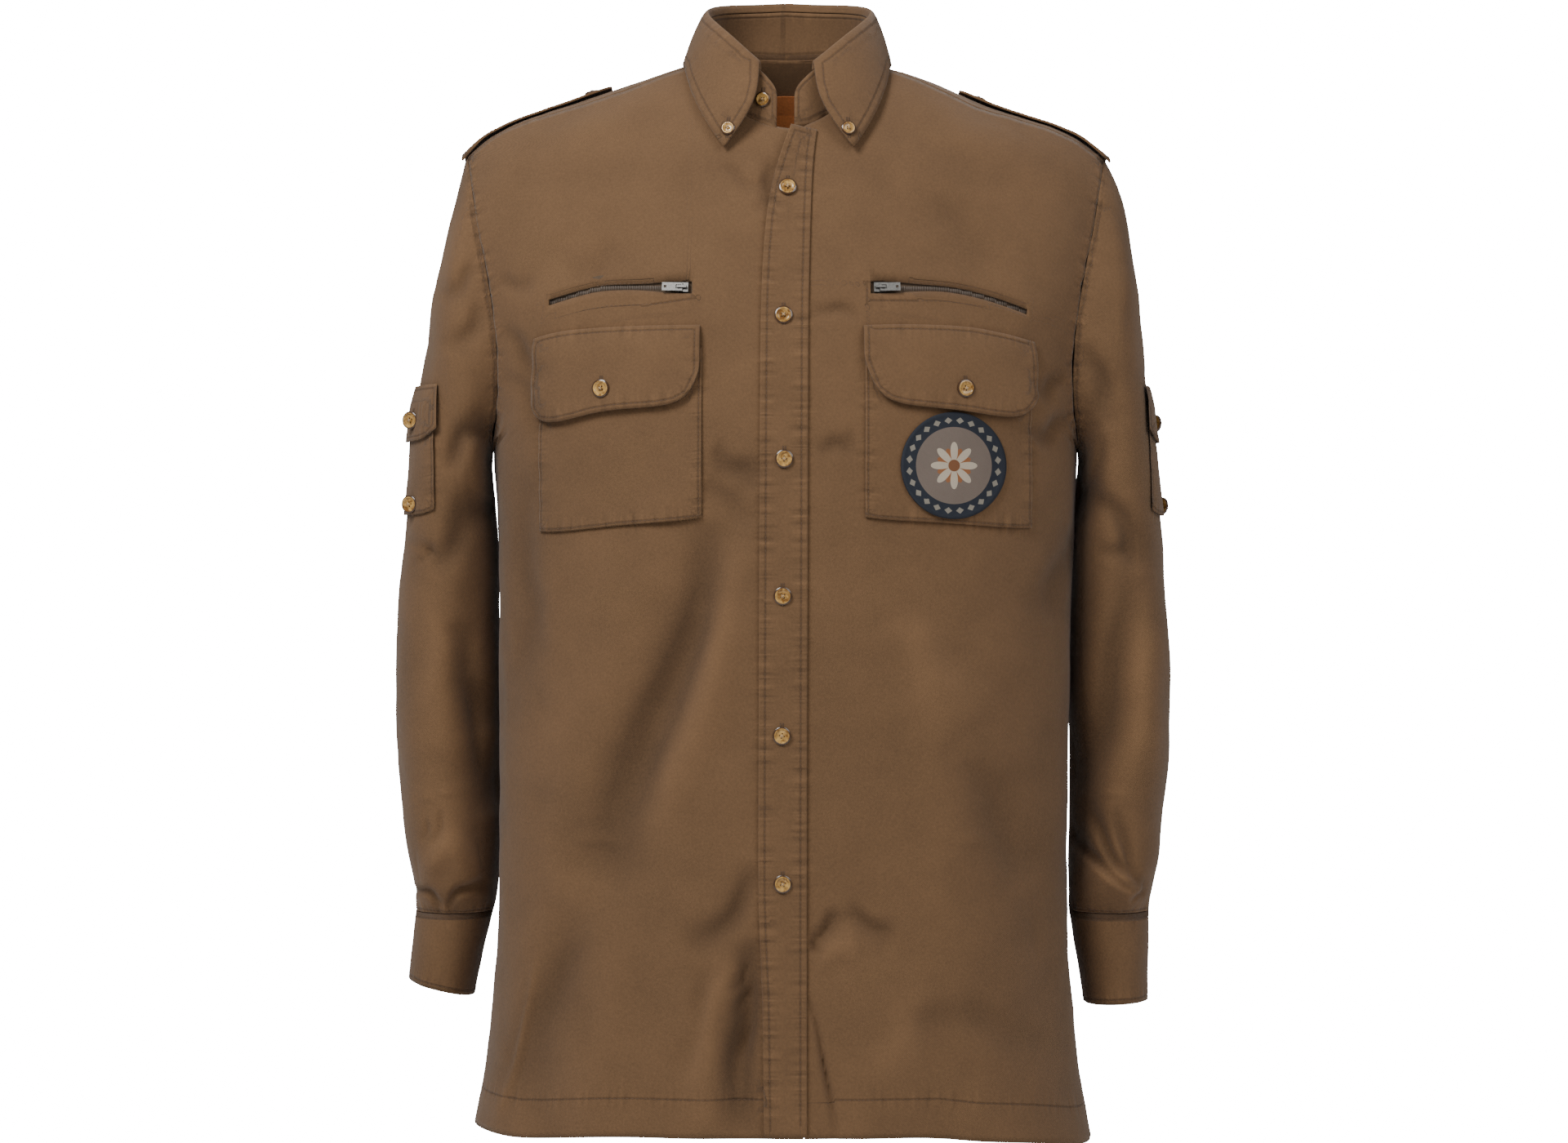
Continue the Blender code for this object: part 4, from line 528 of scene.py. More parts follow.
def cloth_piece(node, kind, level):
    """The dressed piece of a CAD node: smooth, creased and drawn up along its sewing."""
    bm = cad_mesh(node)
    bmesh.ops.join_triangles(
        bm,
        faces=bm.faces[:],
        angle_face_threshold=math.radians(40),
        angle_shape_threshold=math.radians(45),
    )
    layer = bm.edges.layers.float.new("crease_edge")
    for edge in bm.edges:
        if len(edge.link_faces) == 2 and edge.calc_face_angle() > SHARP:
            edge[layer] = 1.0
    rough = bpy.data.meshes.new(node + "_rough")
    bm.to_mesh(rough)
    bm.free()
    piece = add_object(node + "_cloth", rough)
    smoother = piece.modifiers.new("Subdivision", "SUBSURF")
    smoother.levels = level
    smoother.render_levels = level
    mesh = bpy.data.meshes.new_from_object(piece.evaluated_get(bpy.context.evaluated_depsgraph_get()))
    piece.modifiers.clear()
    piece.data = mesh
    bpy.data.meshes.remove(rough)
    mesh.name = node + "_cloth"
    co = np.zeros(len(mesh.vertices) * 3, np.float32)
    mesh.vertices.foreach_get("co", co)
    points = co.reshape(-1, 3).astype(float)
    ways = outward(points, kind)
    along = np.zeros(len(points), np.float32)
    pull = np.zeros(len(points), np.float32)
    for k, p in enumerate(points):
        spot, which, far = row_tree.find(p)
        along[k] = row_along[which]
        pull[k] = row_pull[which] * math.exp(-((far / 0.0065) ** 2))
    side_of = np.zeros(len(points), np.float32)
    by_edge = np.zeros(len(points), bool)
    own, own_rows = own_tree[node]
    for k, p in enumerate(points):
        spot, which, far = own.find(p)
        start, inward, by_edge[k] = own_rows[which]
        side_of[k] = (Vector(p) - start).dot(inward)
        if far > abs(side_of[k]) + 0.004:
            side_of[k] = math.copysign(far, side_of[k])
    move = relief(points, ways, kind)
    if node == "collar_stand":
        for k, p in enumerate(points):
            gap = min(tree.find_nearest(Vector(p))[3] for tree in neck_edges)
            points[k, 2] -= 0.0040 * float(smoothstep(0.0075, 0.0015, np.array(gap)))
    ripple = np.array([noise.noise(Vector((a * 95, 0, 0))) for a in along])
    shift = move + ripple * pull * 0.0011
    places = points + ways * shift[:, None]
    mesh.vertices.foreach_set("co", places.astype(np.float32).ravel())
    edge = np.where(by_edge, (side_of + inset_of[node]) * 1000, 99).astype(np.float32)
    # The fold mark holds the crease height, which the twill's colour turns into painted shade in troughs and
    # painted light on ridges
    marks = (("along", along), ("pull", pull), ("row", side_of * 1000), ("edge", edge),
             ("fold", (move * 300).astype(np.float32)))
    for name, values in marks:
        mesh.attributes.new(name, "FLOAT", "POINT").data.foreach_set("value", values)
    uv = cloth_uv(points, kind)
    corner = np.zeros(len(mesh.loops), np.int32)
    mesh.loops.foreach_get("vertex_index", corner)
    layer = mesh.uv_layers.new(name="cloth")
    layer.data.foreach_set("uv", uv[corner].astype(np.float32).ravel())
    mesh.update()
    bpy.ops.object.select_all(action="DESELECT")
    piece.select_set(True)
    bpy.context.view_layer.objects.active = piece
    bpy.ops.object.shade_smooth_by_angle(angle=math.radians(60))
    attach(piece, "garment")
    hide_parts(node)
    return piece


def add_node(tree, kind, inputs=(), **settings):
    """A shader node with its settings, values and links made."""
    made = tree.nodes.new(kind)
    for key, value in settings.items():
        setattr(made, key, value)
    for key, value in dict(inputs).items():
        if isinstance(value, bpy.types.NodeSocket):
            tree.links.new(value, made.inputs[key])
        else:
            made.inputs[key].default_value = value
    return made


def tune(tree, operation, *values):
    """A maths node's result."""
    return add_node(tree, "ShaderNodeMath", dict(enumerate(values)), operation=operation).outputs[0]


def blend_colours(tree, share, a, b):
    mixer = add_node(tree, "ShaderNodeMix", {0: share, 6: a, 7: b}, data_type="RGBA")
    return mixer.outputs[2]


# Shared effect: the worn twill's colour changes, weave and the ripples of its seams, with painted shade in
# crease troughs, seam grooves and ripple hollows and painted light on crease ridges and ripple crests
twill = bpy.data.node_groups.new("worn_twill", "ShaderNodeTree")
twill.interface.new_socket("Colour", in_out="INPUT", socket_type="NodeSocketColor")
twill.interface.new_socket("Colour", in_out="OUTPUT", socket_type="NodeSocketColor")
twill.interface.new_socket("Normal", in_out="OUTPUT", socket_type="NodeSocketVector")
given = add_node(twill, "NodeGroupInput")
result = add_node(twill, "NodeGroupOutput")
uv = add_node(twill, "ShaderNodeTexCoord").outputs["UV"]
place = add_node(twill, "ShaderNodeTexCoord").outputs["Object"]
along = add_node(twill, "ShaderNodeAttribute", attribute_name="along").outputs["Fac"]
pull = add_node(twill, "ShaderNodeAttribute", attribute_name="pull").outputs["Fac"]
fold = add_node(twill, "ShaderNodeAttribute", attribute_name="fold").outputs["Fac"]
row = add_node(twill, "ShaderNodeAttribute", attribute_name="row").outputs["Fac"]
edge = add_node(twill, "ShaderNodeAttribute", attribute_name="edge").outputs["Fac"]
weave = add_node(
    twill, "ShaderNodeTexWave", {"Vector": uv, "Scale": 490.0, "Distortion": 0.6, "Detail": 1.0},
    bands_direction="DIAGONAL",
).outputs["Fac"]
grain = add_node(twill, "ShaderNodeTexNoise", {"Vector": place, "Scale": 620.0, "Detail": 3.0}).outputs["Fac"]
mottle = add_node(twill, "ShaderNodeTexNoise", {"Vector": place, "Scale": 34.0, "Detail": 5.0}).outputs["Fac"]
cloudy = add_node(twill, "ShaderNodeTexNoise", {"Vector": place, "Scale": 7.0, "Detail": 2.0}).outputs["Fac"]
steps = add_node(twill, "ShaderNodeCombineXYZ", {0: tune(twill, "MULTIPLY", along, 190.0)}).outputs[0]
ripple = add_node(twill, "ShaderNodeTexNoise", {"Vector": steps, "Scale": 1.0, "Detail": 2.0}).outputs["Fac"]
# Ripple crests lighter and hollows darker along the sewing: partly garment-wash fading, partly painted light
# and shade of the ripples; the same value raises the ripples in the bump
crest_wash_and_shade = tune(twill, "MULTIPLY", tune(twill, "SUBTRACT", ripple, 0.5), pull)
# Painted shade in the groove along each sewing row; the same mask sinks the groove in the bump
seam_groove_and_shade = tune(twill, "MULTIPLY_ADD", tune(twill, "ABSOLUTE", row), -0.8, 1.0)
seam_groove_and_shade = tune(twill, "MAXIMUM", seam_groove_and_shade, 0.0)
worn = tune(twill, "MULTIPLY_ADD", tune(twill, "ABSOLUTE", edge), -0.9, 1.0)
worn = tune(twill, "MAXIMUM", worn, 0.0)
light = tune(twill, "MULTIPLY_ADD", tune(twill, "SUBTRACT", mottle, 0.5), 0.26, 1.0)
light = tune(twill, "ADD", light, tune(twill, "MULTIPLY", seam_groove_and_shade, -0.30))
light = tune(twill, "ADD", light, tune(twill, "MULTIPLY", worn, 0.14))
light = tune(twill, "ADD", light, tune(twill, "MULTIPLY", tune(twill, "SUBTRACT", grain, 0.5), 0.42))
light = tune(twill, "ADD", light, tune(twill, "MULTIPLY", tune(twill, "SUBTRACT", cloudy, 0.5), 0.16))
light = tune(twill, "ADD", light, tune(twill, "MULTIPLY", tune(twill, "SUBTRACT", weave, 0.5), 0.10))
light = tune(twill, "ADD", light, tune(twill, "MULTIPLY", crest_wash_and_shade, 1.5))
# Painted shade in crease troughs and painted light on crease ridges, from the fold height
shadow = tune(twill, "MAXIMUM", tune(twill, "MINIMUM", fold, 0.8), -1.6)
light = tune(twill, "ADD", light, tune(twill, "MULTIPLY", shadow, 0.19))
shade = add_node(twill, "ShaderNodeVectorMath", {0: given.outputs[0], 3: light}, operation="SCALE").outputs[0]
height = tune(twill, "ADD", tune(twill, "MULTIPLY", crest_wash_and_shade, 0.0028), tune(twill, "MULTIPLY", weave, 0.00010))
height = tune(twill, "ADD", height, tune(twill, "MULTIPLY", seam_groove_and_shade, -0.0005))
height = tune(twill, "ADD", height, tune(twill, "MULTIPLY", grain, 0.00022))
height = tune(twill, "ADD", height, tune(twill, "MULTIPLY", mottle, 0.0007))
bump = add_node(twill, "ShaderNodeBump", {"Strength": 0.8, "Distance": 1.0, "Height": height}).outputs[0]
twill.links.new(shade, result.inputs[0])
twill.links.new(bump, result.inputs[1])


def plain_material(name, colour, rough, metal=0.0, **plain):
    made = bpy.data.materials.new(name)
    made.use_nodes = True
    shader = made.node_tree.nodes["Principled BSDF"]
    shader.inputs["Base Color"].default_value = (*colour, 1)
    shader.inputs["Roughness"].default_value = rough
    shader.inputs["Metallic"].default_value = metal
    for key, value in plain.items():
        shader.inputs[key.replace("_", " ")].default_value = value
    return made


def cloth_material(name, colour, rough=0.86):
    made = plain_material(name, colour, rough)
    tree = made.node_tree
    shader = tree.nodes["Principled BSDF"]
    shader.inputs["Sheen Weight"].default_value = 0.12
    shader.inputs["Sheen Roughness"].default_value = 0.5
    shader.inputs["Specular IOR Level"].default_value = 0.25
    effect = add_node(tree, "ShaderNodeGroup", node_tree=twill)
    effect.inputs[0].default_value = (*colour, 1)
    tree.links.new(effect.outputs["Colour"], shader.inputs["Base Color"])
    tree.links.new(effect.outputs["Normal"], shader.inputs["Normal"])
    return made


BROWN = (0.153, 0.084, 0.039)
cloth_look = cloth_material("brown_twill", BROWN)
cloth = {}
for row in CLOTH:
    piece = cloth_piece(row["node"], row["kind"], row["level"])
    piece.data.materials.clear()
    piece.data.materials.append(cloth_look)
    cloth[row["node"]] = piece


# Sewing thread
# Cotton-coloured lockstitches run round every pocket, flap, strap, cuff, collar edge, seam and hem.
# Each stitch is a short rounded bar that is sunk into the finished cloth.
bpy.ops.object.select_all(action="DESELECT")
bpy.ops.mesh.primitive_uv_sphere_add(segments=6, ring_count=4, radius=1)
stitch = bpy.context.object
stitch_points = np.array([v.co for v in stitch.data.vertices])[:, (2, 0, 1)] * (0.00125, 0.00028, 0.00022)
stitch_faces = [tuple(f.vertices) for f in stitch.data.polygons]
bpy.data.objects.remove(stitch)
thread_look = plain_material("brown_thread", (0.110, 0.060, 0.030), 0.6)


def surface(node):
    return BVHTree.FromObject(cloth[node], bpy.context.evaluated_depsgraph_get())


def add_pieces(name, points, faces, look, body="garment"):
    mesh = bpy.data.meshes.new(name)
    mesh.from_pydata([tuple(p) for p in points], [], faces)
    mesh.update()
    for polygon in mesh.polygons:
        polygon.use_smooth = True
    mesh.materials.append(look)
    piece = add_object(name, mesh)
    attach(piece, body)
    return piece


for node, rows in sewing.items():
    tree = surface(node)
    points = []
    faces = []
    for row in rows:
        hits = []
        for p, normal, inward in row:
            hit = tree.ray_cast(p + normal * 0.012, -normal, 0.030)
            if hit[0] is not None and hit[1].dot(normal) > 0.2:
                hits.append((hit[0], hit[1]))
            else:
                hits.append(None)
        for here, after in zip(hits, hits[1:]):
            if here is None or after is None or (after[0] - here[0]).length > 0.006:
                continue
            forward = (after[0] - here[0]).normalized()
            up = (here[1] - forward * here[1].dot(forward)).normalized()
            turn = np.array((forward, up.cross(forward), up))
            centre = np.array((here[0] + after[0]) / 2)
            start = len(points)
            points.extend(stitch_points @ turn + centre)
            faces.extend(tuple(start + k for k in face) for face in stitch_faces)
    if points:
        add_pieces(node + "_stitches", points, faces, thread_look)


# Cloth sizes
# The flat cut of every piece in metres, its share, how it is held and the piece it rests on, listed only; the
# loop below reads the sizes.
SHEETS = table(
    "node width length share held rests_on",
    ("front_right", 0.300, 0.770, 0.90, "hung", "yoke"),
    ("front_left", 0.270, 0.770, 0.90, "hung", "yoke"),
    ("back", 0.560, 0.665, 0.93, "hung", "yoke"),
    ("yoke", 0.475, 0.200, 0.84, "hung", "collar_stand"),
    ("placket", 0.033, 0.742, 1.0, "hung", "front_left"),
    ("chest_pocket_right", 0.120, 0.132, 1.0, "hung", "front_right"),
    ("chest_pocket_left", 0.120, 0.132, 1.0, "hung", "front_left"),
    ("pocket_flap_right", 0.124, 0.067, 0.95, "hung", "front_right"),
    ("pocket_flap_left", 0.124, 0.067, 0.95, "hung", "front_left"),
    ("epaulette_right", 0.120, 0.052, 0.95, "laid", "yoke"),
    ("epaulette_left", 0.120, 0.052, 0.95, "laid", "yoke"),
    ("sleeve_right", 0.380, 0.520, 0.77, "hung", "yoke"),
    ("sleeve_left", 0.380, 0.520, 0.77, "hung", "yoke"),
    ("cuff_right", 0.230, 0.063, 1.0, "hung", "sleeve_right"),
    ("cuff_left", 0.243, 0.068, 1.0, "hung", "sleeve_left"),
    ("sleeve_pocket_right", 0.082, 0.078, 1.0, "hung", "sleeve_right"),
    ("sleeve_pocket_left", 0.082, 0.078, 1.0, "hung", "sleeve_left"),
    ("sleeve_flap_right", 0.090, 0.042, 0.96, "hung", "sleeve_right"),
    ("sleeve_flap_left", 0.090, 0.042, 0.96, "hung", "sleeve_left"),
    ("collar_stand", 0.410, 0.034, 1.0, "folded", "yoke"),
    ("collar_fall", 0.430, 0.072, 0.88, "folded", "collar_stand"),
)
for row in SHEETS:
    flat = (row["width"], row["length"])


# Buttons
# Glossy amber horn-effect shirt buttons, each with a dark turned rim, a pale dished middle and four
# holes, sewn on with a cross of light thread.
bpy.ops.object.select_all(action="DESELECT")
bpy.ops.mesh.primitive_cylinder_add(vertices=40, radius=0.0057, depth=0.0020, location=(0, 0, 0.0010))
blank = bpy.context.object
bpy.ops.object.mode_set(mode="EDIT")
bpy.ops.mesh.select_mode(type="FACE")
bpy.ops.object.mode_set(mode="OBJECT")
blank.data.polygons.foreach_set("select", [f.normal.z > 0.9 for f in blank.data.polygons])
bpy.ops.object.mode_set(mode="EDIT")
bpy.ops.mesh.inset(thickness=0.0009, depth=0.0004)
bpy.ops.mesh.inset(thickness=0.0007, depth=0.0001)
bpy.ops.mesh.inset(thickness=0.0005, depth=-0.0007)
bpy.ops.mesh.inset(thickness=0.0016, depth=-0.0002)
bpy.ops.object.mode_set(mode="OBJECT")
for x, y in ((1, 1), (1, -1), (-1, 1), (-1, -1)):
    bpy.ops.mesh.primitive_cylinder_add(vertices=12, radius=0.00055, depth=0.006,
                                        location=(x * 0.00095, y * 0.00095, 0.001))
    drill = bpy.context.object
    cut = blank.modifiers.new("Hole", "BOOLEAN")
    cut.operation = "DIFFERENCE"
    cut.solver = "EXACT"
    cut.object = drill
    bpy.context.view_layer.objects.active = blank
    bpy.ops.object.modifier_apply(modifier=cut.name)
    bpy.data.objects.remove(drill)
rounding = blank.modifiers.new("Rounding", "BEVEL")
rounding.width = 0.00022
rounding.segments = 2
rounding.limit_method = "ANGLE"
rounding.angle_limit = math.radians(28)
bpy.ops.object.modifier_apply(modifier=rounding.name)
blank.data.polygons.foreach_set("use_smooth", [True] * len(blank.data.polygons))

amber = plain_material("amber_horn", (0.50, 0.30, 0.10), 0.16, Coat_Weight=0.3, Coat_Roughness=0.08)
tree = amber.node_tree
amber_place = add_node(tree, "ShaderNodeTexCoord").outputs["Object"]
streaks = add_node(
    tree, "ShaderNodeTexNoise", {"Vector": amber_place, "Scale": 170.0, "Detail": 4.0, "Distortion": 1.6},
).outputs["Fac"]
spread = add_node(tree, "ShaderNodeMapRange", {0: streaks, 1: 0.36, 2: 0.62}).outputs[0]
tone = blend_colours(tree, spread, (0.20, 0.085, 0.014, 1), (0.60, 0.36, 0.11, 1))
tree.links.new(tone, tree.nodes["Principled BSDF"].inputs["Base Color"])
dark_rim = plain_material("amber_rim", (0.060, 0.026, 0.010), 0.22, Coat_Weight=0.5, Coat_Roughness=0.1)
blank.data.materials.append(amber)
blank.data.materials.append(dark_rim)
for face in blank.data.polygons:
    middle = face.center
    face.material_index = 1 if math.hypot(middle.x, middle.y) > 0.0047 else 0
bpy.ops.object.select_all(action="DESELECT")
bpy.ops.mesh.primitive_cylinder_add(vertices=8, radius=0.00030, depth=0.0026, location=(0, 0, 0))
bar = bpy.context.object
bar_points = np.array([v.co for v in bar.data.vertices])
bar_faces = [tuple(f.vertices) for f in bar.data.polygons]
bpy.data.objects.remove(bar)
cross_look = plain_material("button_thread", (0.46, 0.31, 0.17), 0.7)

ON = {
    "button_stand": "collar_stand",
    "button_collar_right": "collar_fall",
    "button_collar_left": "collar_fall",
    "button_flap_right": "pocket_flap_right",
    "button_flap_left": "pocket_flap_left",
    "button_sleeve_flap_right": "sleeve_flap_right",
    "button_sleeve_flap_left": "sleeve_flap_left",
    "button_sleeve_low_right": "sleeve_pocket_right",
    "button_sleeve_low_left": "sleeve_pocket_left",
    "button_epaulette_right": "epaulette_right",
    "button_epaulette_left": "epaulette_left",
    "button_cuff_right": "cuff_right",
    "button_cuff_left": "cuff_left",
}
button_spots = {}
for node in sorted(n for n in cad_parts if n.startswith("button_")):
    co = corners_of(node)
    middle = co.mean(0)
    spread = np.linalg.eigh((co - middle).T @ (co - middle))[1][:, 0]
    below = ON.get(node, "placket")
    kind = next(r["kind"] for r in CLOTH if r["node"] == below)
    way = Vector(spread * np.sign(spread @ outward(middle[None], kind)[0]))
    under = surface(below)
    across = way.orthogonal().normalized()
    seat = -1.0
    for k in range(12):
        rim = across.copy()
        rim.rotate(Matrix.Rotation(math.tau * k / 12, 3, way))
        start = Vector(middle) + rim * (0.0045 if k % 2 else 0.0)
        hit = under.ray_cast(start + way * 0.010, -way, 0.024)
        if hit[0] is not None:
            seat = max(seat, (hit[0] - Vector(middle)).dot(way))
    seat = max(seat, -0.006) + 0.0001
    half = np.abs((co - middle) @ np.array(across)).max()
    size = half / 0.0059
    turned = Matrix.Rotation(len(button_spots) * 0.7, 4, "Z")
    place = Matrix.Translation(Vector(middle) + way * seat) @ way.to_track_quat("Z", "Y").to_matrix().to_4x4()
    place = place @ turned @ Matrix.Diagonal((size, size, 1.0, 1.0))
    button_spots[node] = place
    mesh = blank.data.copy()
    mesh.transform(place)
    piece = add_object(node + "_shown", mesh)
    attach(piece, "garment")
    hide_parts(node)
    points = []
    faces = []
    for angle in (math.pi / 4, -math.pi / 4):
        lay = Matrix.Translation((0, 0, 0.00205)) @ Matrix.Rotation(angle, 4, "Z") @ Matrix.Rotation(
            math.pi / 2, 4, "Y")
        start = len(points)
        points.extend((place @ lay @ Vector(p))[:] for p in bar_points)
        faces.extend(tuple(start + k for k in face) for face in bar_faces)
    add_pieces(node + "_thread", points, faces, cross_look)
bpy.data.objects.remove(blank)


# Zips
# Two slit pockets above the flaps, each closed by a nylon coil zip on dark tape that is sewn behind
# the slit, with a worn nickel slider at the inner end and a tab that lies outward.
UPRIGHT = np.array(((0, 0, 1), (1, 0, 0), (0, 1, 0)), float)
tape_look = cloth_material("zip_tape", (0.120, 0.080, 0.050))
coil_look = plain_material("zip_coil", (0.150, 0.118, 0.095), 0.42)
nickel = plain_material("worn_nickel", (0.36, 0.35, 0.33), 0.34, 1.0)
tree = nickel.node_tree
nickel_place = add_node(tree, "ShaderNodeTexCoord").outputs["Object"]
scuffs = add_node(tree, "ShaderNodeTexNoise", {"Vector": nickel_place, "Scale": 900.0, "Detail": 4.0})
scuffs = scuffs.outputs["Fac"]
tree.links.new(
    blend_colours(tree, scuffs, (0.09, 0.087, 0.083, 1), (0.30, 0.29, 0.27, 1)),
    tree.nodes["Principled BSDF"].inputs["Base Color"],
)
rough_metal = tune(tree, "MULTIPLY_ADD", scuffs, 0.4, 0.18)
tree.links.new(rough_metal, tree.nodes["Principled BSDF"].inputs["Roughness"])
for side in ("right", "left"):
    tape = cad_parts["zip_tape_" + side]
    tape.data.materials.clear()
    tape.data.materials.append(tape_look)
    co = corners_of("zip_tape_" + side)
    tape_tree = BVHTree.FromObject(tape, bpy.context.evaluated_depsgraph_get())
    sign = 1 if side == "left" else -1
    xs = np.arange(0.074, 0.1715, 0.00125)
    points = []
    faces = []
    for x in xs:
        near = co[np.abs(co[:, 0] - sign * x) < 0.008]
        low_z, high_z = near[:, 2].min(), near[:, 2].max()
        z = (low_z + high_z) / 2
        hit = tape_tree.ray_cast(Vector((sign * x, -0.20, z)), Vector((0, 1, 0)), 0.2)
        if hit[0] is None:
            continue
        centre = np.array(hit[0]) + (0, -0.0003, 0)
        start = len(points)
        points.extend(stitch_points * (1.5, 1.7, 2.4) @ UPRIGHT + centre)
        faces.extend(tuple(start + n for n in face) for face in stitch_faces)
    add_pieces("zip_coil_" + side, points, faces, coil_look)
    for part in ("zip_slider_", "zip_pull_"):
        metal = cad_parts[part + side]
        metal.data.materials.clear()
        metal.data.materials.append(nickel)
        rounding = metal.modifiers.new("Rounding", "BEVEL")
        rounding.width = 0.00030
        rounding.segments = 2
        rounding.limit_method = "ANGLE"


# Round patch and neck label
# The patch is an embroidered badge with a whipped border, sewn on the wearer's left chest pocket.
# The label is a plain woven satin tab inside the yoke.
patch = cad_mesh("patch")
bmesh.ops.join_triangles(patch, faces=patch.faces[:], angle_face_threshold=0.6, angle_shape_threshold=0.9)
rough = bpy.data.meshes.new("patch_rough")
layer = patch.edges.layers.float.new("crease_edge")
for edge in patch.edges:
    if len(edge.link_faces) == 2 and edge.calc_face_angle() > SHARP:
        edge[layer] = 1.0
patch.to_mesh(rough)
patch.free()
badge = add_object("patch_shown", rough)
smoother = badge.modifiers.new("Subdivision", "SUBSURF")
smoother.levels = 3
smoother.render_levels = 3
mesh = bpy.data.meshes.new_from_object(badge.evaluated_get(bpy.context.evaluated_depsgraph_get()))
badge.modifiers.clear()
badge.data = mesh
co = np.array([v.co for v in mesh.vertices])
low, high = co.min(0), co.max(0)
middle = (low + high) / 2
radius = (high[2] - low[2]) / 2
far = np.hypot(co[:, 0] - middle[0], co[:, 2] - middle[2])
move = relief(co, outward(co, "body"), "body")
border_rise = np.exp(-(((far - radius * 0.955) / (radius * 0.04)) ** 2)) * 0.0006
co += outward(co, "body") * (move + border_rise)[:, None]
mesh.vertices.foreach_set("co", co.astype(np.float32).ravel())
corner = np.zeros(len(mesh.loops), np.int32)
mesh.loops.foreach_get("vertex_index", corner)
flat = (co[:, (0, 2)] - middle[[0, 2]]) / radius
mesh.uv_layers.new(name="badge").data.foreach_set("uv", flat[corner].astype(np.float32).ravel())
for polygon in mesh.polygons:
    polygon.use_smooth = True
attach(badge, "garment")
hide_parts("patch")

badge_look = plain_material("embroidery", (0.15, 0.125, 0.105), 0.62)
tree = badge_look.node_tree
uv = add_node(tree, "ShaderNodeTexCoord").outputs["UV"]
parts = add_node(tree, "ShaderNodeSeparateXYZ", {0: uv})
far = add_node(tree, "ShaderNodeVectorMath", {0: uv}, operation="LENGTH").outputs["Value"]
angle = tune(tree, "ARCTAN2", parts.outputs[1], parts.outputs[0])
petal = tune(tree, "ABSOLUTE", tune(tree, "COSINE", tune(tree, "MULTIPLY", angle, 4.0)))
leaf = tune(tree, "ABSOLUTE", tune(tree, "SINE", tune(tree, "MULTIPLY", angle, 4.0)))
in_petal = tune(tree, "LESS_THAN", far, tune(tree, "MULTIPLY_ADD", petal, 0.34, 0.10))
in_leaf = tune(tree, "LESS_THAN", far, tune(tree, "MULTIPLY_ADD", leaf, 0.22, 0.12))
in_heart = tune(tree, "LESS_THAN", far, 0.11)
in_ring = tune(tree, "GREATER_THAN", far, 0.72)
turns = tune(tree, "MULTIPLY", angle, 24 / math.tau)
sway = tune(tree, "ABSOLUTE", tune(tree, "SUBTRACT", tune(tree, "FRACT", turns), 0.5))
away = tune(tree, "MULTIPLY", tune(tree, "ABSOLUTE", tune(tree, "SUBTRACT", far, 0.845)), 5.5)
in_bead = tune(tree, "LESS_THAN", tune(tree, "ADD", sway, away), 0.34)
colour = blend_colours(tree, in_leaf, (0.165, 0.125, 0.100, 1), (0.28, 0.105, 0.035, 1))
colour = blend_colours(tree, in_petal, colour, (0.50, 0.42, 0.32, 1))
colour = blend_colours(tree, in_heart, colour, (0.20, 0.075, 0.025, 1))
ringed = blend_colours(tree, in_bead, (0.006, 0.010, 0.020, 1), (0.24, 0.215, 0.175, 1))
colour = blend_colours(tree, in_ring, colour, ringed)
tree.links.new(colour, tree.nodes["Principled BSDF"].inputs["Base Color"])
threads = add_node(
    tree, "ShaderNodeTexWave", {"Vector": uv, "Scale": 22.0, "Distortion": 1.5, "Detail": 2.0},
    bands_direction="DIAGONAL",
).outputs["Fac"]
bump = add_node(tree, "ShaderNodeBump", {"Strength": 0.5, "Distance": 0.0004, "Height": threads}).outputs[0]
tree.links.new(bump, tree.nodes["Principled BSDF"].inputs["Normal"])
mesh.materials.clear()
mesh.materials.append(badge_look)

label_look = cloth_material("label_satin", (0.62, 0.20, 0.06), 0.5)
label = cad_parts["label"]
label.data.materials.clear()
label.data.materials.append(label_look)


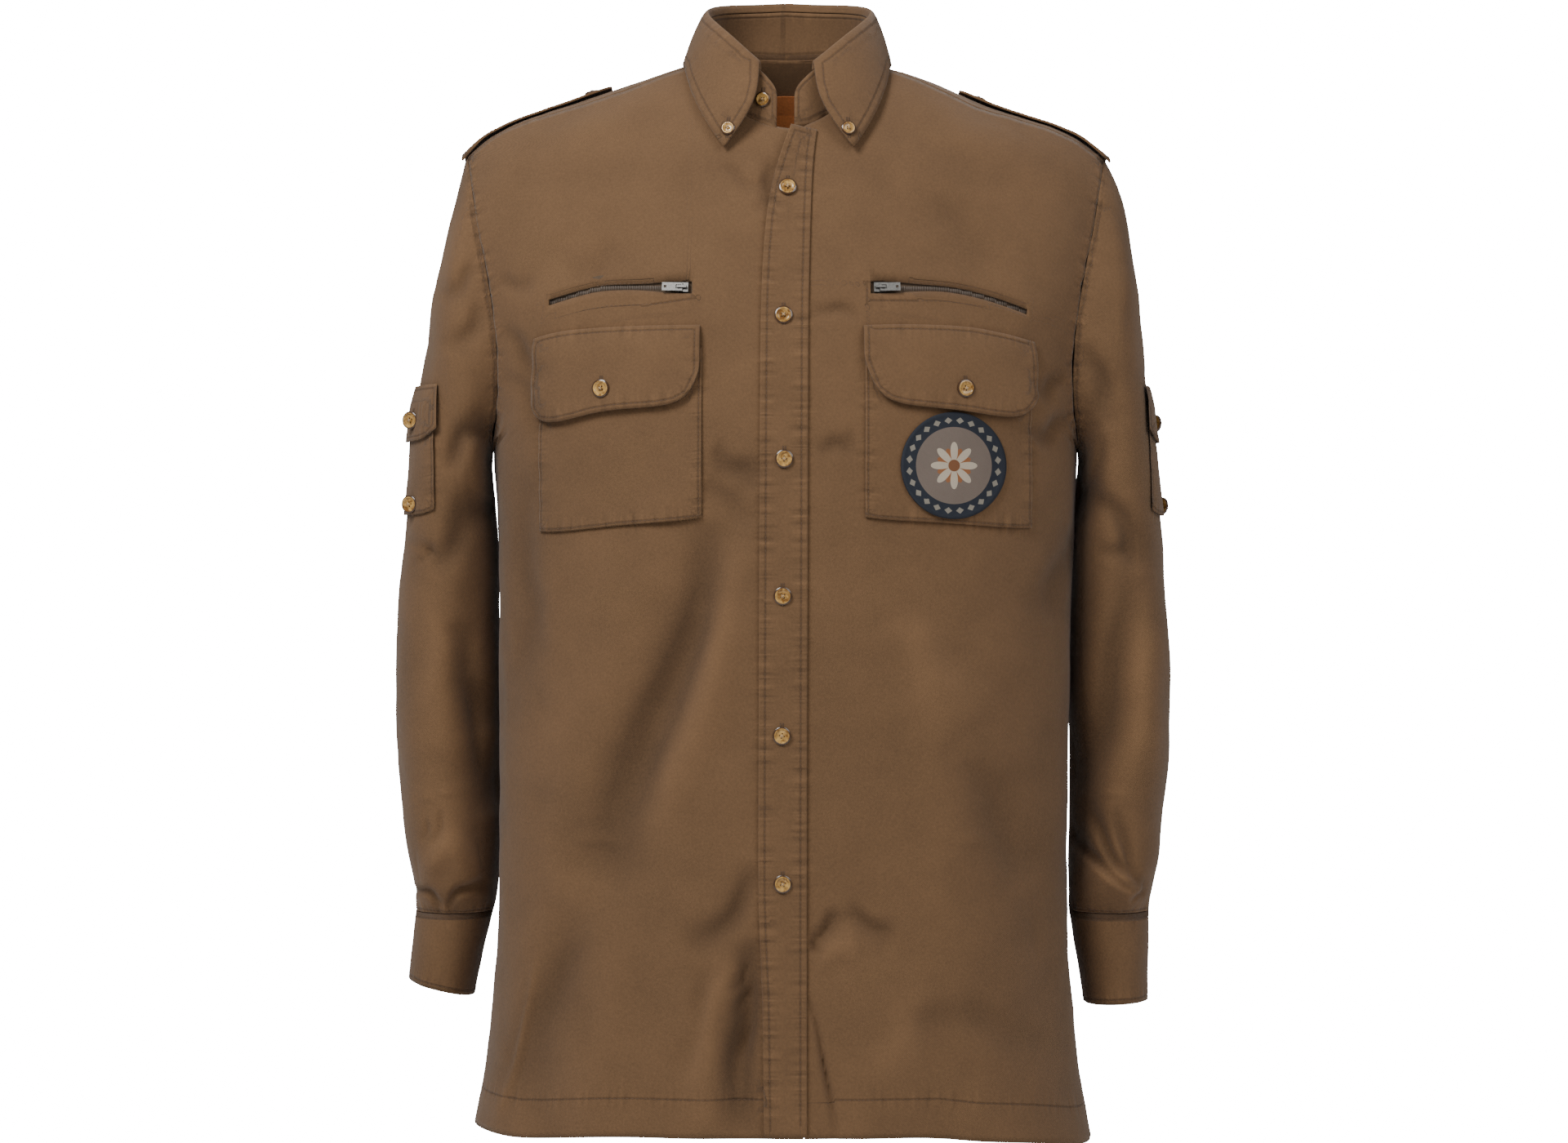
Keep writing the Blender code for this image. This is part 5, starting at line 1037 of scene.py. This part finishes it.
# Buttonholes
# Each is a narrow slot of dense zigzag thread under its button, upright on the placket and stand.
hole_points = []
hole_faces = []
for node, place in button_spots.items():
    if "low" in node or "epaulette" in node:
        continue
    under = surface(ON.get(node, "placket"))
    centre = place.translation
    out = (place.to_3x3() @ Vector((0, 0, 1))).normalized()
    upright = (Vector((0, 0, 1)) - out * out.z).normalized()
    flatwise = upright.cross(out).normalized()
    for k in range(-19, 20):
        for edge in (-1, 1):
            spot = centre + upright * (k * 0.00042 + 0.0008) + flatwise * (edge * 0.00085)
            hit = under.ray_cast(spot + out * 0.006, -out, 0.012)
            if hit[0] is None:
                continue
            turn = np.array((flatwise, upright, out))
            start = len(hole_points)
            hole_points.extend(stitch_points * (0.62, 0.75, 0.9) @ turn + np.array(hit[0]))
            hole_faces.extend(tuple(start + n for n in face) for face in stitch_faces)
add_pieces("buttonhole_thread", hole_points, hole_faces, thread_look)


# Floor
# A plain pale studio floor, a flat plane well clear of the hanging shirt.
FLOOR_Z = -1.15
bpy.ops.object.select_all(action="DESELECT")
bpy.ops.mesh.primitive_plane_add(size=5, location=(0, -1.3, FLOOR_Z))
floor = bpy.context.object
floor.name = "studio_floor"
paper = plain_material("studio_paper", (0.92, 0.92, 0.92), 0.9)
floor.data.materials.append(paper)
floor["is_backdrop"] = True


# Light and camera
# Soft even studio light from the front and above, with the camera level and square to the shirt.
WORLD_LIGHT = 0.27
world = bpy.data.worlds.new("studio")
scene.world = world
world.use_nodes = True
tree = world.node_tree
glow = tree.nodes["Background"]
glow.inputs[0].default_value = (1, 1, 1, 1)
from_camera = add_node(tree, "ShaderNodeLightPath").outputs["Is Camera Ray"]
tree.links.new(tune(tree, "MULTIPLY_ADD", from_camera, 20.0, WORLD_LIGHT), glow.inputs[1])
LIGHTS = table(
    "name x y z width power",
    ("key", -1.00, -1.40, 1.15, 0.9, 41),
    ("fill", 1.3, -1.7, 0.9, 1.4, 19),
    ("rim", 0.0, 1.6, 1.6, 1.4, 12),
)
for row in LIGHTS:
    lamp = bpy.data.lights.new(row["name"], "AREA")
    lamp.energy = row["power"]
    lamp.size = row["width"]
    light = add_object(row["name"], lamp)
    light.location = (row["x"], row["y"], row["z"])
    aim = Vector((0, 0, -0.30)) - light.location
    light.rotation_euler = aim.to_track_quat("-Z", "Y").to_euler()
lens = bpy.data.cameras.new("camera")
lens.sensor_width = 36
lens.lens = 87.5
camera = add_object("camera", lens)
camera.location = CAMERA
camera.rotation_euler = (math.pi / 2, 0, 0)
scene.camera = camera


# Bounds of the dressed shirt: every shown object but the backdrop
low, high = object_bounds()
